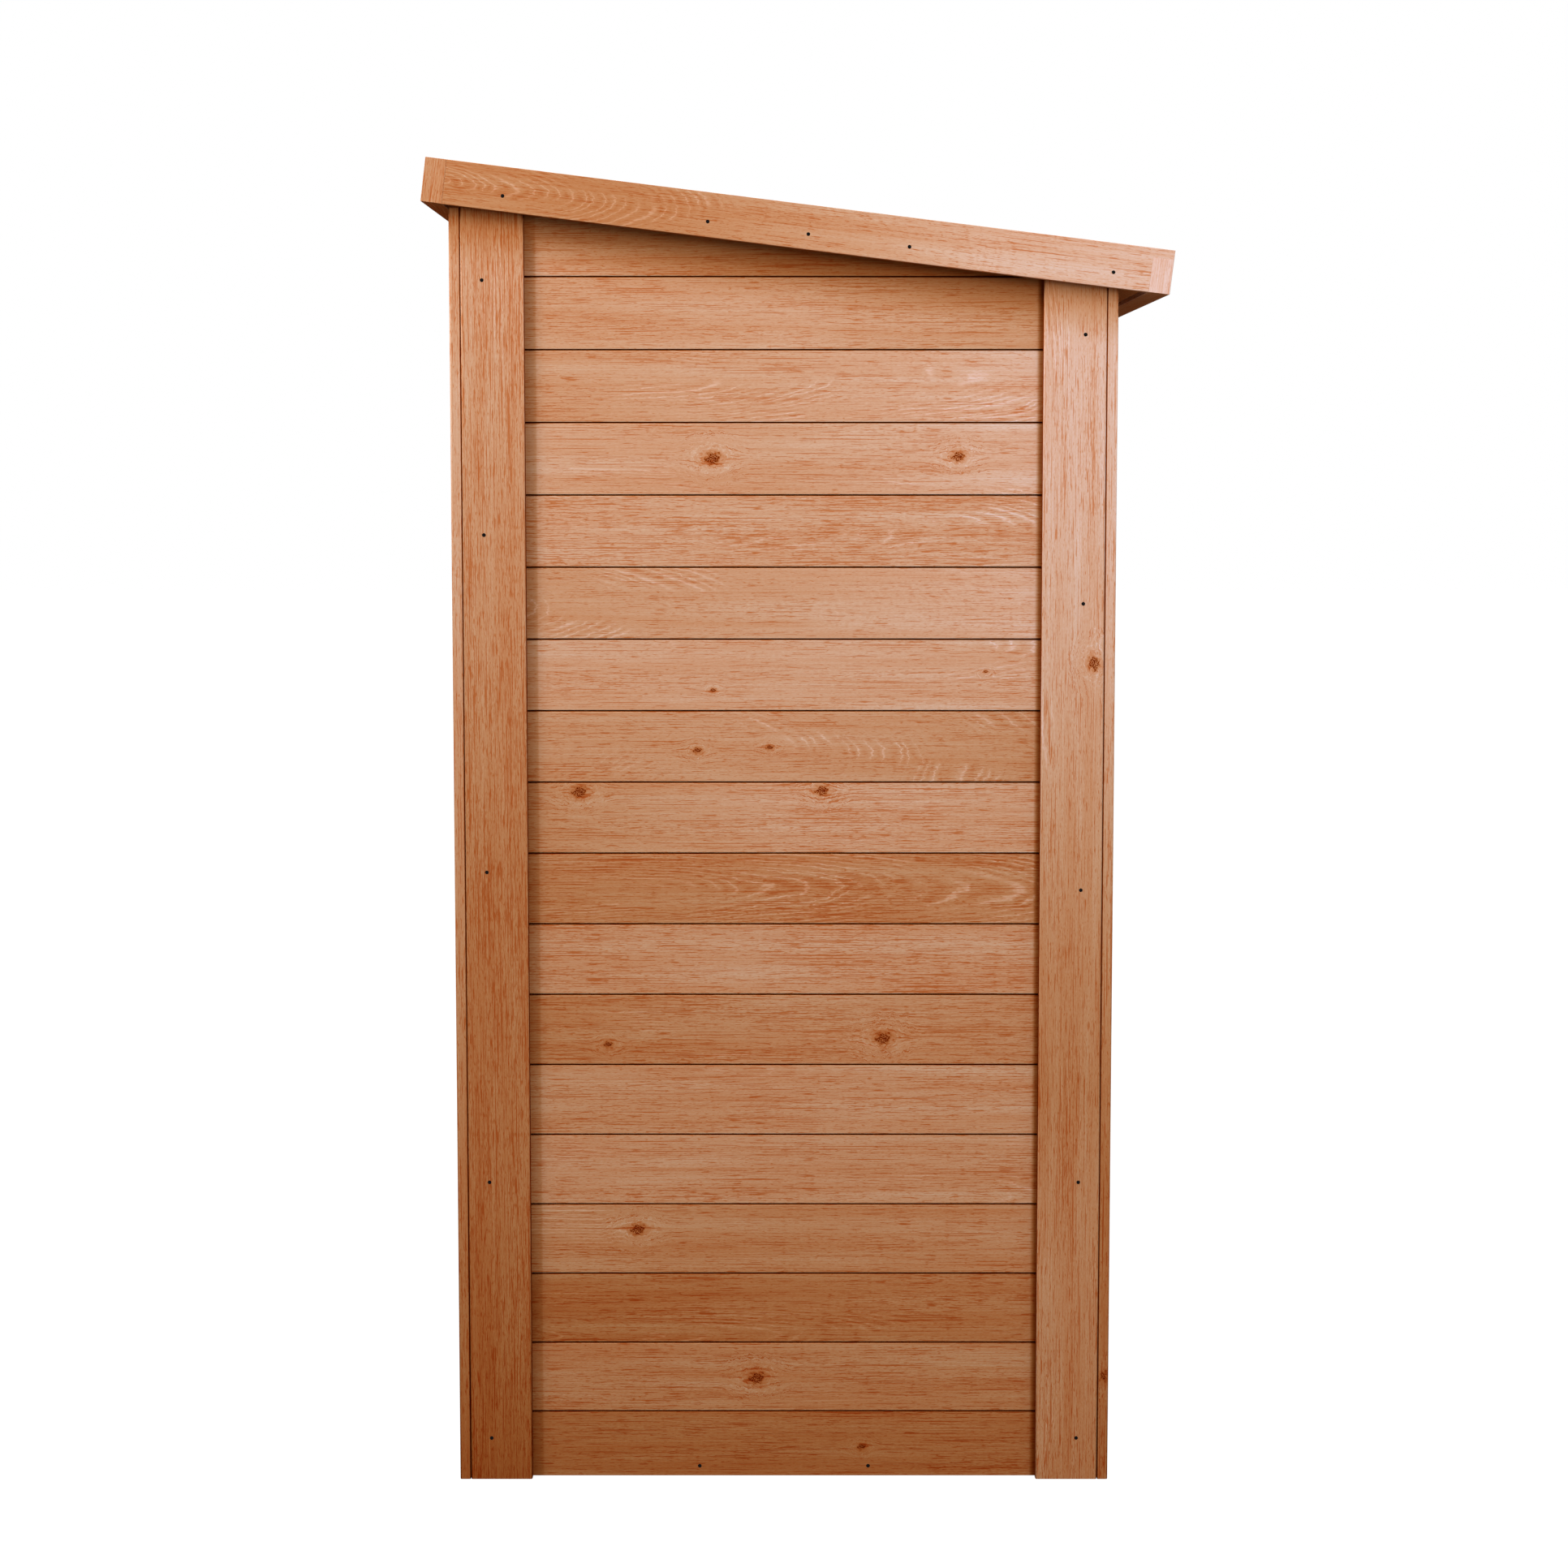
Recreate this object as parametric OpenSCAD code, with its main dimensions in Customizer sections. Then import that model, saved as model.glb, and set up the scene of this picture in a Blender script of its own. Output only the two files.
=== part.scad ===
// Timber storage shed with a single-pitch roof.
//
// Millimetres, +Z up, ground at z = 0. The roof falls from the tall left side (-X) to the low
// right side (+X); the front and back walls are the two whose tops slope. The origin is on the
// ground under the middle of the roof, so the walls stand a little to the left of it.

/* [Body] */
// Width over the corner trims, across the slope
body_w = 1104; // [900:1:1600]
// Length over the corner trims, along the eaves
body_l = 1800; // [1200:10:2600]
// Height of the middle of the roof edge above the ground
roof_mid_h = 2113; // [1700:1:2600]

/* [Walls] */
// Thickness of the wall boards
board_t = 19; // [15:1:28]
// Gap under the lowest wall boards
board_lift = 1; // [0:0.5:20]
// Thickness of the corner trims
trim_t = 18; // [12:1:26]
// Width of the corner trims
trim_w = 105; // [80:1:140]

/* [Wall frame] */
// Side of the square corner posts and middle studs
post_w = 45; // [38:1:70]
// Height of the rails on the ground
bottom_rail_h = 58; // [40:1:95]
// Height of the rails under the roof
top_rail_h = 58; // [40:1:95]

/* [Roof] */
// Slope of the roof in degrees
roof_pitch = 7.04; // [3:0.01:12]
// Roof past the tall wall, to its outermost edge
overhang_high = 43.5; // [40:0.5:150]
// Roof past the low wall, to its outermost edge
overhang_low = 90.5; // [88:0.5:200]
// Height of the side fascias, square to the slope
fascia_h = 72.5; // [65:0.5:120]
// Thickness of the side fascias
fascia_t = 20; // [15:1:30]
// Thickness of the purlins and of the timbers along the eaves
timber_t = 35; // [28:1:38]
// Distance of the first purlin's middle from the high end
first_purlin_x = 132; // [120:1:160]
// Depth of the roof skin's rebate behind the fascias
skin_zone = 15; // [12:0.5:24]
// Thickness of the roof deck
deck_t = 12; // [8:0.5:18]
// Thickness of the roofing felt
felt_t = 2.5; // [1.5:0.5:3.5]
// How far the wall tops reach up behind the side fascias
wall_tuck = 6; // [3:0.5:15]
// Drop from the fascia's lower edge to the square-cut tops of the left trims
trim_drop = 3.5; // [0:0.5:10]

/* [Hidden] */

stain = "#b5764f";
pale_timber = "#c89a72";
felt_grey = "#3c3d3e";

// The box of the whole roof is centred on the origin, so the walls are set off by half the
// difference between the two overhangs.
body_x = (overhang_high - overhang_low) / 2;
half_w = body_w / 2;
half_l = body_l / 2;

// Faces of the wall layers, measured from the middle of the body.
board_out_x = half_w - trim_t;
board_in_x = board_out_x - board_t;
post_in_x = board_in_x - post_w;
board_out_y = half_l - trim_t;
board_in_y = board_out_y - board_t;
post_in_y = board_in_y - post_w;

// The roof's own frame: x runs down the slope, z stands square to it, and the side fascia is a
// rectangle centred on its origin.
fascia_l = (body_w + overhang_high + overhang_low - fascia_h * sin(roof_pitch)) / cos(roof_pitch);
fascia_bottom = -fascia_h / 2;
fascia_top = fascia_h / 2;
purlin_bottom = fascia_bottom + wall_tuck;
skin_bottom = fascia_top - skin_zone;
high_end = -fascia_l / 2;
low_end = fascia_l / 2;

// The eave beam's lower corner touches the outer face of the right trims.
eave_beam_x = (body_x + half_w - fascia_bottom * sin(roof_pitch)) / cos(roof_pitch);
purlin_first = high_end + first_purlin_x;
purlin_last = eave_beam_x - timber_t / 2;
purlin_pitch = (purlin_last - purlin_first) / 3;

// Past every piece, for cuts.
reach = body_w + body_l + roof_mid_h;

// Puts what is drawn in the roof's frame at its place above the walls.
module on_roof() {
    translate([0, 0, roof_mid_h]) rotate([0, roof_pitch, 0]) children();
}

// Puts what is drawn around the middle of the body at its place on the ground.
module on_ground() {
    translate([body_x, 0, 0]) children();
}

// Box between two opposite corners.
module block(low, high) {
    translate(low) cube(high - low);
}

// Takes away all that lies above a plane parallel to the roof.
module cut_to_slope(level) {
    difference() {
        children();
        on_roof() block([-reach, -reach, level], [reach, reach, 2 * reach]);
    }
}

// Upright box on the ground plan, cut off along the slope at a level of the roof's frame.
module upright(low, high, level, lift = 0) {
    cut_to_slope(level)
        on_ground() block([low[0], low[1], lift], [high[0], high[1], reach]);
}

// Height above the ground of a level of the roof's frame, over a place measured from the body.
function slope_z(x, level) =
    roof_mid_h + (level - (body_x + x) * sin(roof_pitch)) / cos(roof_pitch);

// ---- walls ----

// Front or back wall, its top cut to the slope under the purlins.
module end_wall(y_side) {
    y = y_side < 0 ? -board_out_y : board_in_y;
    color(stain)
        upright([-board_out_x, y], [board_out_x, y + board_t], purlin_bottom, board_lift);
}

module front_wall() { end_wall(-1); }
module back_wall() { end_wall(1); }

// The tall wall runs on up to the deck, which closes the space behind the high fascia.
module left_wall() {
    color(stain)
        upright([-board_out_x, -board_in_y], [-board_in_x, board_in_y], skin_bottom, board_lift);
}

module right_wall() {
    color(stain)
        upright([board_in_x, -board_in_y], [board_out_x, board_in_y], purlin_bottom, board_lift);
}

// ---- wall frame ----

module post(x_side, y_side) {
    x = x_side < 0 ? -board_in_x : post_in_x;
    y = y_side < 0 ? -board_in_y : post_in_y;
    color(pale_timber) upright([x, y], [x + post_w, y + post_w], purlin_bottom);
}

module front_left_post() { post(-1, -1); }
module front_right_post() { post(1, -1); }
module back_left_post() { post(-1, 1); }
module back_right_post() { post(1, 1); }

// Height of the underside of the level rails on the two side walls.
function side_rail_z(x_side) =
    slope_z(x_side < 0 ? -post_in_x : board_in_x, purlin_bottom) - top_rail_h;

// Stud half way along a side wall, between its rails.
module stud(x_side) {
    x = x_side < 0 ? -board_in_x : post_in_x;
    color(pale_timber) on_ground()
        block([x, -post_w / 2, bottom_rail_h], [x + post_w, post_w / 2, side_rail_z(x_side)]);
}

module left_stud() { stud(-1); }
module right_stud() { stud(1); }

// Rail on the ground between the posts of the front or back wall.
module end_bottom_rail(y_side) {
    y = y_side < 0 ? -board_in_y : post_in_y;
    color(pale_timber) on_ground()
        block([-post_in_x, y, 0], [post_in_x, y + post_w, bottom_rail_h]);
}

module front_bottom_rail() { end_bottom_rail(-1); }
module back_bottom_rail() { end_bottom_rail(1); }

// Rail on the ground between the posts of a side wall.
module side_bottom_rail(x_side) {
    x = x_side < 0 ? -board_in_x : post_in_x;
    color(pale_timber) on_ground()
        block([x, -post_in_y, 0], [x + post_w, post_in_y, bottom_rail_h]);
}

module left_bottom_rail() { side_bottom_rail(-1); }
module right_bottom_rail() { side_bottom_rail(1); }

// Sloping rail between the posts, which carries the purlins' ends.
module end_top_rail(y_side) {
    y = y_side < 0 ? -board_in_y : post_in_y;
    color(pale_timber) intersection() {
        on_roof() block([-reach, y, purlin_bottom - top_rail_h], [reach, y + post_w, purlin_bottom]);
        on_ground() block([-post_in_x, -reach, 0], [post_in_x, reach, reach]);
    }
}

module front_top_rail() { end_top_rail(-1); }
module back_top_rail() { end_top_rail(1); }

// Level rail between the posts of a side wall, its top planed to the slope.
module side_top_rail(x_side) {
    x = x_side < 0 ? -board_in_x : post_in_x;
    color(pale_timber)
        upright([x, -post_in_y], [x + post_w, post_in_y], purlin_bottom, side_rail_z(x_side));
}

module left_top_rail() { side_top_rail(-1); }
module right_top_rail() { side_top_rail(1); }

// ---- corner trims ----

// Trim on the front or back wall. It stands between the two side walls' trims, whose edges
// show beside it.
module end_trim(x_side, y_side) {
    x = x_side < 0 ? -board_out_x : board_out_x - trim_w;
    y = y_side < 0 ? -half_l : board_out_y;
    color(stain) upright([x, y], [x + trim_w, y + trim_t], purlin_bottom);
}

module front_left_trim() { end_trim(-1, -1); }
module front_right_trim() { end_trim(1, -1); }
module back_left_trim() { end_trim(-1, 1); }
module back_right_trim() { end_trim(1, 1); }

// Trim on the tall wall, cut square below the fascia's lower edge.
module left_trim(y_side) {
    y = y_side < 0 ? -half_l : half_l - trim_w;
    top = slope_z(-half_w, fascia_bottom) - trim_drop;
    color(stain) on_ground() block([-half_w, y, 0], [-board_out_x, y + trim_w, top]);
}

module left_front_trim() { left_trim(-1); }
module left_back_trim() { left_trim(1); }

// Trim on the low wall, which runs up under the last purlin.
module right_trim(y_side) {
    y = y_side < 0 ? -half_l : half_l - trim_w;
    color(stain) upright([board_out_x, y], [half_w, y + trim_w], purlin_bottom);
}

module right_front_trim() { right_trim(-1); }
module right_back_trim() { right_trim(1); }

// ---- roof ----

// Timber under the deck, from fascia to fascia, with its middle at x down the slope.
module purlin(x) {
    color(pale_timber) on_roof()
        block([x - timber_t / 2, -half_l, purlin_bottom], [x + timber_t / 2, half_l, skin_bottom]);
}

module purlin_1() { purlin(purlin_first); }
module purlin_2() { purlin(purlin_first + purlin_pitch); }
module purlin_3() { purlin(purlin_first + 1.5 * purlin_pitch); }
module purlin_4() { purlin(purlin_first + 2 * purlin_pitch); }
module purlin_5() { purlin(purlin_last); }

// Beam outside the low wall, level with the fascias' lower edges.
module eave_beam() {
    color(stain) on_roof()
        block([eave_beam_x, -half_l, fascia_bottom], [eave_beam_x + timber_t, half_l, skin_bottom]);
}

// Timber along the high edge; its end grain is flush with the side fascias.
module high_fascia() {
    color(stain) on_roof()
        block([high_end, -half_l - fascia_t, fascia_bottom],
              [high_end + timber_t, half_l + fascia_t, fascia_top]);
}

// Timber along the low edge, which the deck passes over.
module low_fascia() {
    color(stain) on_roof()
        block([low_end - timber_t, -half_l - fascia_t, fascia_bottom],
              [low_end, half_l + fascia_t, skin_bottom]);
}

// Side fascia, notched over the end of the low timber.
module side_fascia(y_side) {
    y = y_side < 0 ? -half_l - fascia_t : half_l;
    color(stain) on_roof() difference() {
        block([high_end + timber_t, y, fascia_bottom], [low_end, y + fascia_t, fascia_top]);
        block([low_end - timber_t, y - fascia_t, fascia_bottom - fascia_h],
              [low_end + timber_t, y + 2 * fascia_t, skin_bottom]);
    }
}

module front_fascia() { side_fascia(-1); }
module back_fascia() { side_fascia(1); }

module roof_deck() {
    color(pale_timber) on_roof()
        block([high_end + timber_t, -half_l, skin_bottom], [low_end, half_l, skin_bottom + deck_t]);
}

module roof_felt() {
    level = skin_bottom + deck_t;
    color(felt_grey) on_roof()
        block([high_end + timber_t, -half_l, level], [low_end, half_l, level + felt_t]);
}

front_wall();
back_wall();
left_wall();
right_wall();
front_left_post();
front_right_post();
back_left_post();
back_right_post();
left_stud();
right_stud();
front_bottom_rail();
back_bottom_rail();
left_bottom_rail();
right_bottom_rail();
front_top_rail();
back_top_rail();
left_top_rail();
right_top_rail();
front_left_trim();
front_right_trim();
back_left_trim();
back_right_trim();
left_front_trim();
left_back_trim();
right_front_trim();
right_back_trim();
purlin_1();
purlin_2();
purlin_3();
purlin_4();
purlin_5();
eave_beam();
high_fascia();
low_fascia();
front_fascia();
back_fascia();
roof_deck();
roof_felt();
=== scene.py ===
"""Looks of a timber storage shed with a single-pitch roof.

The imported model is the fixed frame. Every board, trim, roof timber, felt sheet and nail is built
over it and dressed here. Metres, +Z up; the front faces -Y, the roof falls from the tall left side
(-X) to the low right side (+X).
"""

import logging
import math
import random
from collections.abc import Callable, Sequence
from dataclasses import dataclass, field, replace
from enum import Enum
from functools import cache
from typing import Any, ClassVar

import bmesh
import bpy
from mathutils import Matrix, Vector


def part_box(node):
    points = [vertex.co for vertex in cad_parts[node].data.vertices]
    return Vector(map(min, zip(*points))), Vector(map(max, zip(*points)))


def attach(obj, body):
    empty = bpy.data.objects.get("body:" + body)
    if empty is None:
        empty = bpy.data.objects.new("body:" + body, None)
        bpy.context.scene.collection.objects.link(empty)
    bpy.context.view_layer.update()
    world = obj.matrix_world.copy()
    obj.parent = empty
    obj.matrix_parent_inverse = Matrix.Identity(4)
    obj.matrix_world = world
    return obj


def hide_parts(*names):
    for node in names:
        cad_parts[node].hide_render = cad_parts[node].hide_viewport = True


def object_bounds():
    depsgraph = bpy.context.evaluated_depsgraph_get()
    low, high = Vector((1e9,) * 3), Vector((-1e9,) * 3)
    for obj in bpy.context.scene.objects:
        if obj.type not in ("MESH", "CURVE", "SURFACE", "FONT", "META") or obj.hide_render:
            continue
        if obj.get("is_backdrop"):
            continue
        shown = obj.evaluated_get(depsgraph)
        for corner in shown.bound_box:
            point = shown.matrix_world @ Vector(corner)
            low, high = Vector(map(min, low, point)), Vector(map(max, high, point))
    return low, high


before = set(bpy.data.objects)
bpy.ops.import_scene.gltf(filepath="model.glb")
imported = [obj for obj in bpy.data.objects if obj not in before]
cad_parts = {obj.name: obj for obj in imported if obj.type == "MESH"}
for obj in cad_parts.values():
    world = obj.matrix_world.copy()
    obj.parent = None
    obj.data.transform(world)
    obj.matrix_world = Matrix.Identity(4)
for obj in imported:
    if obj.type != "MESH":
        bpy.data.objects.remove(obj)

LOG = logging.getLogger("shed")
WHITE = (1.0, 1.0, 1.0, 1.0)
UP = Vector((0.0, 0.0, 1.0))
COVER = 0.11993  # height of wall that a board covers
LOWEST_BOARD = 0.115  # height of the lowest board, which is cut at the foot
SPARE = 0.01  # extra length that a sloping cut takes off
NEAR = 1e-5  # within this distance two points are one
HAIR = 1e-6  # the same where Blender cuts and rounds


# ---------------------------------------------------------------------------------------------
# Shader trees
# ---------------------------------------------------------------------------------------------


class Value:
    """A number, vector or colour that varies over a surface, with arithmetic for numbers."""

    def __init__(self, tree: "Tree", socket: bpy.types.NodeSocket) -> None:
        """Wraps one output socket of a tree."""
        self.tree = tree
        self.socket = socket

    def math(self, operation: str, *others: "Number", clamp: bool = False) -> "Value":
        """Applies a Math node to this value and others."""
        return self.tree.node(
            "ShaderNodeMath",
            {"operation": operation, "use_clamp": clamp},
            dict(enumerate((self, *others))),
        )

    def __add__(self, other: "Number") -> "Value":
        """Sum."""
        return self.math("ADD", other)

    __radd__ = __add__

    def __sub__(self, other: "Number") -> "Value":
        """Difference."""
        return self.math("SUBTRACT", other)

    def __rsub__(self, other: float) -> "Value":
        """Reflected difference."""
        return self._reflected("SUBTRACT", other)

    def __mul__(self, other: "Number") -> "Value":
        """Product."""
        return self.math("MULTIPLY", other)

    __rmul__ = __mul__

    def __truediv__(self, other: "Number") -> "Value":
        """Quotient."""
        return self.math("DIVIDE", other)

    def __rtruediv__(self, other: float) -> "Value":
        """Reflected quotient."""
        return self._reflected("DIVIDE", other)

    def __pow__(self, other: "Number") -> "Value":
        """Power."""
        return self.math("POWER", other)

    def __rpow__(self, other: float) -> "Value":
        """Reflected power."""
        return self._reflected("POWER", other)

    def _reflected(self, operation: str, other: float) -> "Value":
        """Applies a Math node to a plain number and this value."""
        return self.tree.node("ShaderNodeMath", {"operation": operation}, {0: other, 1: self})

    def clamped(self) -> "Value":
        """The value held between 0 and 1."""
        return self.math("ADD", 0.0, clamp=True)

    def step(self, low: "Number", high: "Number") -> "Value":
        """A smooth step from 0 at low to 1 at high, which may be the smaller of the two."""
        return self.tree.node(
            "ShaderNodeMapRange",
            {"interpolation_type": "SMOOTHSTEP", "clamp": True},
            {"Value": self, "From Min": low, "From Max": high},
        )


Number = Value | float


class Tree:
    """The node tree of one material or world."""

    def __init__(self, owner: bpy.types.Material | bpy.types.World) -> None:
        """Empties the owner's node tree.

        Args:
            owner: The material or world whose nodes are written.
        """
        owner.use_nodes = True
        self.nodes = owner.node_tree.nodes
        self.links = owner.node_tree.links
        self.nodes.clear()

    def node(
        self,
        kind: str,
        settings: dict[str, Any] | None = None,
        inputs: dict[str | int, Any] | None = None,
        output: str | int = 0,
    ) -> Value | None:
        """Adds a node.

        Args:
            kind: The node's type.
            settings: Its own settings; "stops" holds a ramp's places and colours.
            inputs: Values or links for its sockets, by name or number.
            output: The socket to return.

        Returns:
            The chosen output, or nothing where the node has none.
        """
        made = self.nodes.new(kind)
        for name, value in (settings or {}).items():
            if name == "stops":
                elements = made.color_ramp.elements
                while len(elements) < len(value):
                    elements.new(0.5)
                for element, (place, colour) in zip(elements, value, strict=True):
                    element.position = place
                    element.color = colour
            else:
                setattr(made, name, value)
        for name, value in (inputs or {}).items():
            if isinstance(value, Value):
                self.links.new(value.socket, made.inputs[name])
            else:
                made.inputs[name].default_value = value
        return Value(self, made.outputs[output]) if made.outputs else None

    def attribute(self, name: str) -> Value:
        """A vector that the mesh carries at its face corners."""
        return self.node("ShaderNodeAttribute", {"attribute_name": name}, output="Vector")

    def split(self, vector: Value) -> tuple[Value, Value, Value]:
        """The three parts of a vector or a colour."""
        first = self.node("ShaderNodeSeparateXYZ", {}, {0: vector})
        return tuple(Value(self, out) for out in first.socket.node.outputs)

    def vector(self, x: Number, y: Number, z: Number) -> Value:
        """A vector from three numbers."""
        return self.node("ShaderNodeCombineXYZ", {}, {0: x, 1: y, 2: z})

    def colour(self, red: Number, green: Number, blue: Number) -> Value:
        """A colour from three numbers."""
        return self.node("ShaderNodeCombineColor", {}, {0: red, 1: green, 2: blue})

    def object_place(self) -> Value:
        """The place on the object, in metres."""
        return self.node("ShaderNodeTexCoord", output="Object")

    def scaled(self, place: Value, by: float) -> Value:
        """A place in smaller units."""
        return self.node("ShaderNodeVectorMath", {"operation": "SCALE"}, {0: place, "Scale": by})

    def noise(
        self, place: Value, detail: float = 2.0, rough: float = 0.5, output: str = "Fac"
    ) -> Value:
        """Noise of unit scale over a place."""
        inputs = {"Vector": place, "Scale": 1.0, "Detail": detail, "Roughness": rough}
        return self.node("ShaderNodeTexNoise", {}, inputs, output)

    def mix(self, share: Number, low: Any, high: Any, blend: str = "MIX") -> Value:
        """A colour between two others.

        Args:
            share: How much of the second colour.
            low: The first colour.
            high: The second colour.
            blend: Blender's name for the way they mix.

        Returns:
            The mixed colour.
        """
        return self.node(
            "ShaderNodeMix",
            {"data_type": "RGBA", "blend_type": blend, "clamp_factor": True},
            {0: share, 6: low, 7: high},
            2,
        )

    def bump(self, strength: float, distance: float, height: Value) -> Value:
        """A normal from a height."""
        inputs = {"Strength": strength, "Distance": distance, "Height": height}
        return self.node("ShaderNodeBump", {}, inputs)

    def surface(self, inputs: dict[str, Any]) -> None:
        """Ends a material in a Principled shader with these inputs."""
        shader = self.node("ShaderNodeBsdfPrincipled", {}, inputs)
        self.node("ShaderNodeOutputMaterial", {}, {"Surface": shader})


def paint(red: int, green: int, blue: int) -> tuple[float, float, float, float]:
    """A colour from its everyday 0 to 255 values, as the linear values that shaders take."""
    parts = (part / 255 for part in (red, green, blue))
    return (*(p / 12.92 if p <= 0.04045 else ((p + 0.055) / 1.055) ** 2.4 for p in parts), 1.0)


# ---------------------------------------------------------------------------------------------
# Finishes
# ---------------------------------------------------------------------------------------------


@dataclass(frozen=True)
class Finish:
    """What a piece is dressed in.

    Attributes:
        name: Name of the material.
    """

    name: str

    @cache
    def material(self) -> bpy.types.Material:
        """The finish as a material, made once."""
        made = bpy.data.materials.new(self.name)
        self.write(Tree(made))
        return made

    def write(self, tree: Tree) -> None:
        """Writes the material's nodes."""
        raise NotImplementedError


@dataclass(frozen=True)
class Grain:
    """A place in the wood, with noise that is drawn out along the grain.

    Attributes:
        tree: The material's tree.
        along: Distance along the grain.
        across: Distance across it.
        depth: Distance into the wood.
    """

    tree: Tree
    along: Value
    across: Value
    depth: Value

    def noise(
        self,
        along: float,
        across: float,
        detail: float = 2.0,
        rough: float = 0.5,
        output: str = "Fac",
    ) -> Value:
        """Noise with so many waves to the metre along the grain, and so many across it."""
        place = self.tree.vector(self.along * along, self.across * across, self.depth * across)
        return self.tree.noise(place, detail, rough, output)

    def swing(self, along: float, across: float, detail: float = 2.0, rough: float = 0.5) -> Value:
        """The same noise, about 0."""
        return self.noise(along, across, detail, rough) - 0.5


@dataclass(frozen=True)
class KnotFields:
    """What one knot does to the wood round it.

    Attributes:
        distance: Distance from its middle, in radii.
        near: 1 close to it and 0 away from it.
        pull: How far it draws the grain aside.
        halo: The redder wood round it.
        body: The knot itself.
        core: Its dark, torn middle.
        rings: Pale rings round it.
    """

    distance: Value
    near: Value
    pull: Value
    halo: Value
    body: Value
    core: Value
    rings: Value

    @staticmethod
    def read(tree: Tree, name: str, depth: Value) -> "KnotFields":
        """Works out the fields of one knot.

        Args:
            tree: The material's tree.
            name: The attribute that holds the place from the knot's middle, and its radius.
            depth: Distance from the middle of a knot in an edge, square to the good face.

        Returns:
            The fields.
        """
        along, across, radius = tree.split(tree.attribute(name))
        aside = across + depth
        ragged = tree.noise(tree.vector(along * 110, aside * 170, radius), 2.0, 0.6) - 0.5
        torn = tree.noise(tree.vector(along * 340, aside * 520, radius), 2.0, 0.6)
        oval = ((along * 0.70) ** 2 + across**2 + depth**2) ** 0.5
        distance = oval / radius + ragged * 2.0
        near = distance.step(4.6, 0.9)
        core = distance.step(0.90, 0.50) * torn.step(0.44, 0.54)
        waves = (distance * 1.6).math("PINGPONG", 0.5) * 2
        return KnotFields(
            distance,
            near,
            pull=across * near * 0.72,
            halo=distance.step(2.3, 1.0),
            body=distance.step(1.25, 0.65),
            core=core,
            rings=waves.step(0.62, 0.96) * distance.step(3.6, 1.6) * distance.step(0.9, 1.3),
        )


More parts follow.
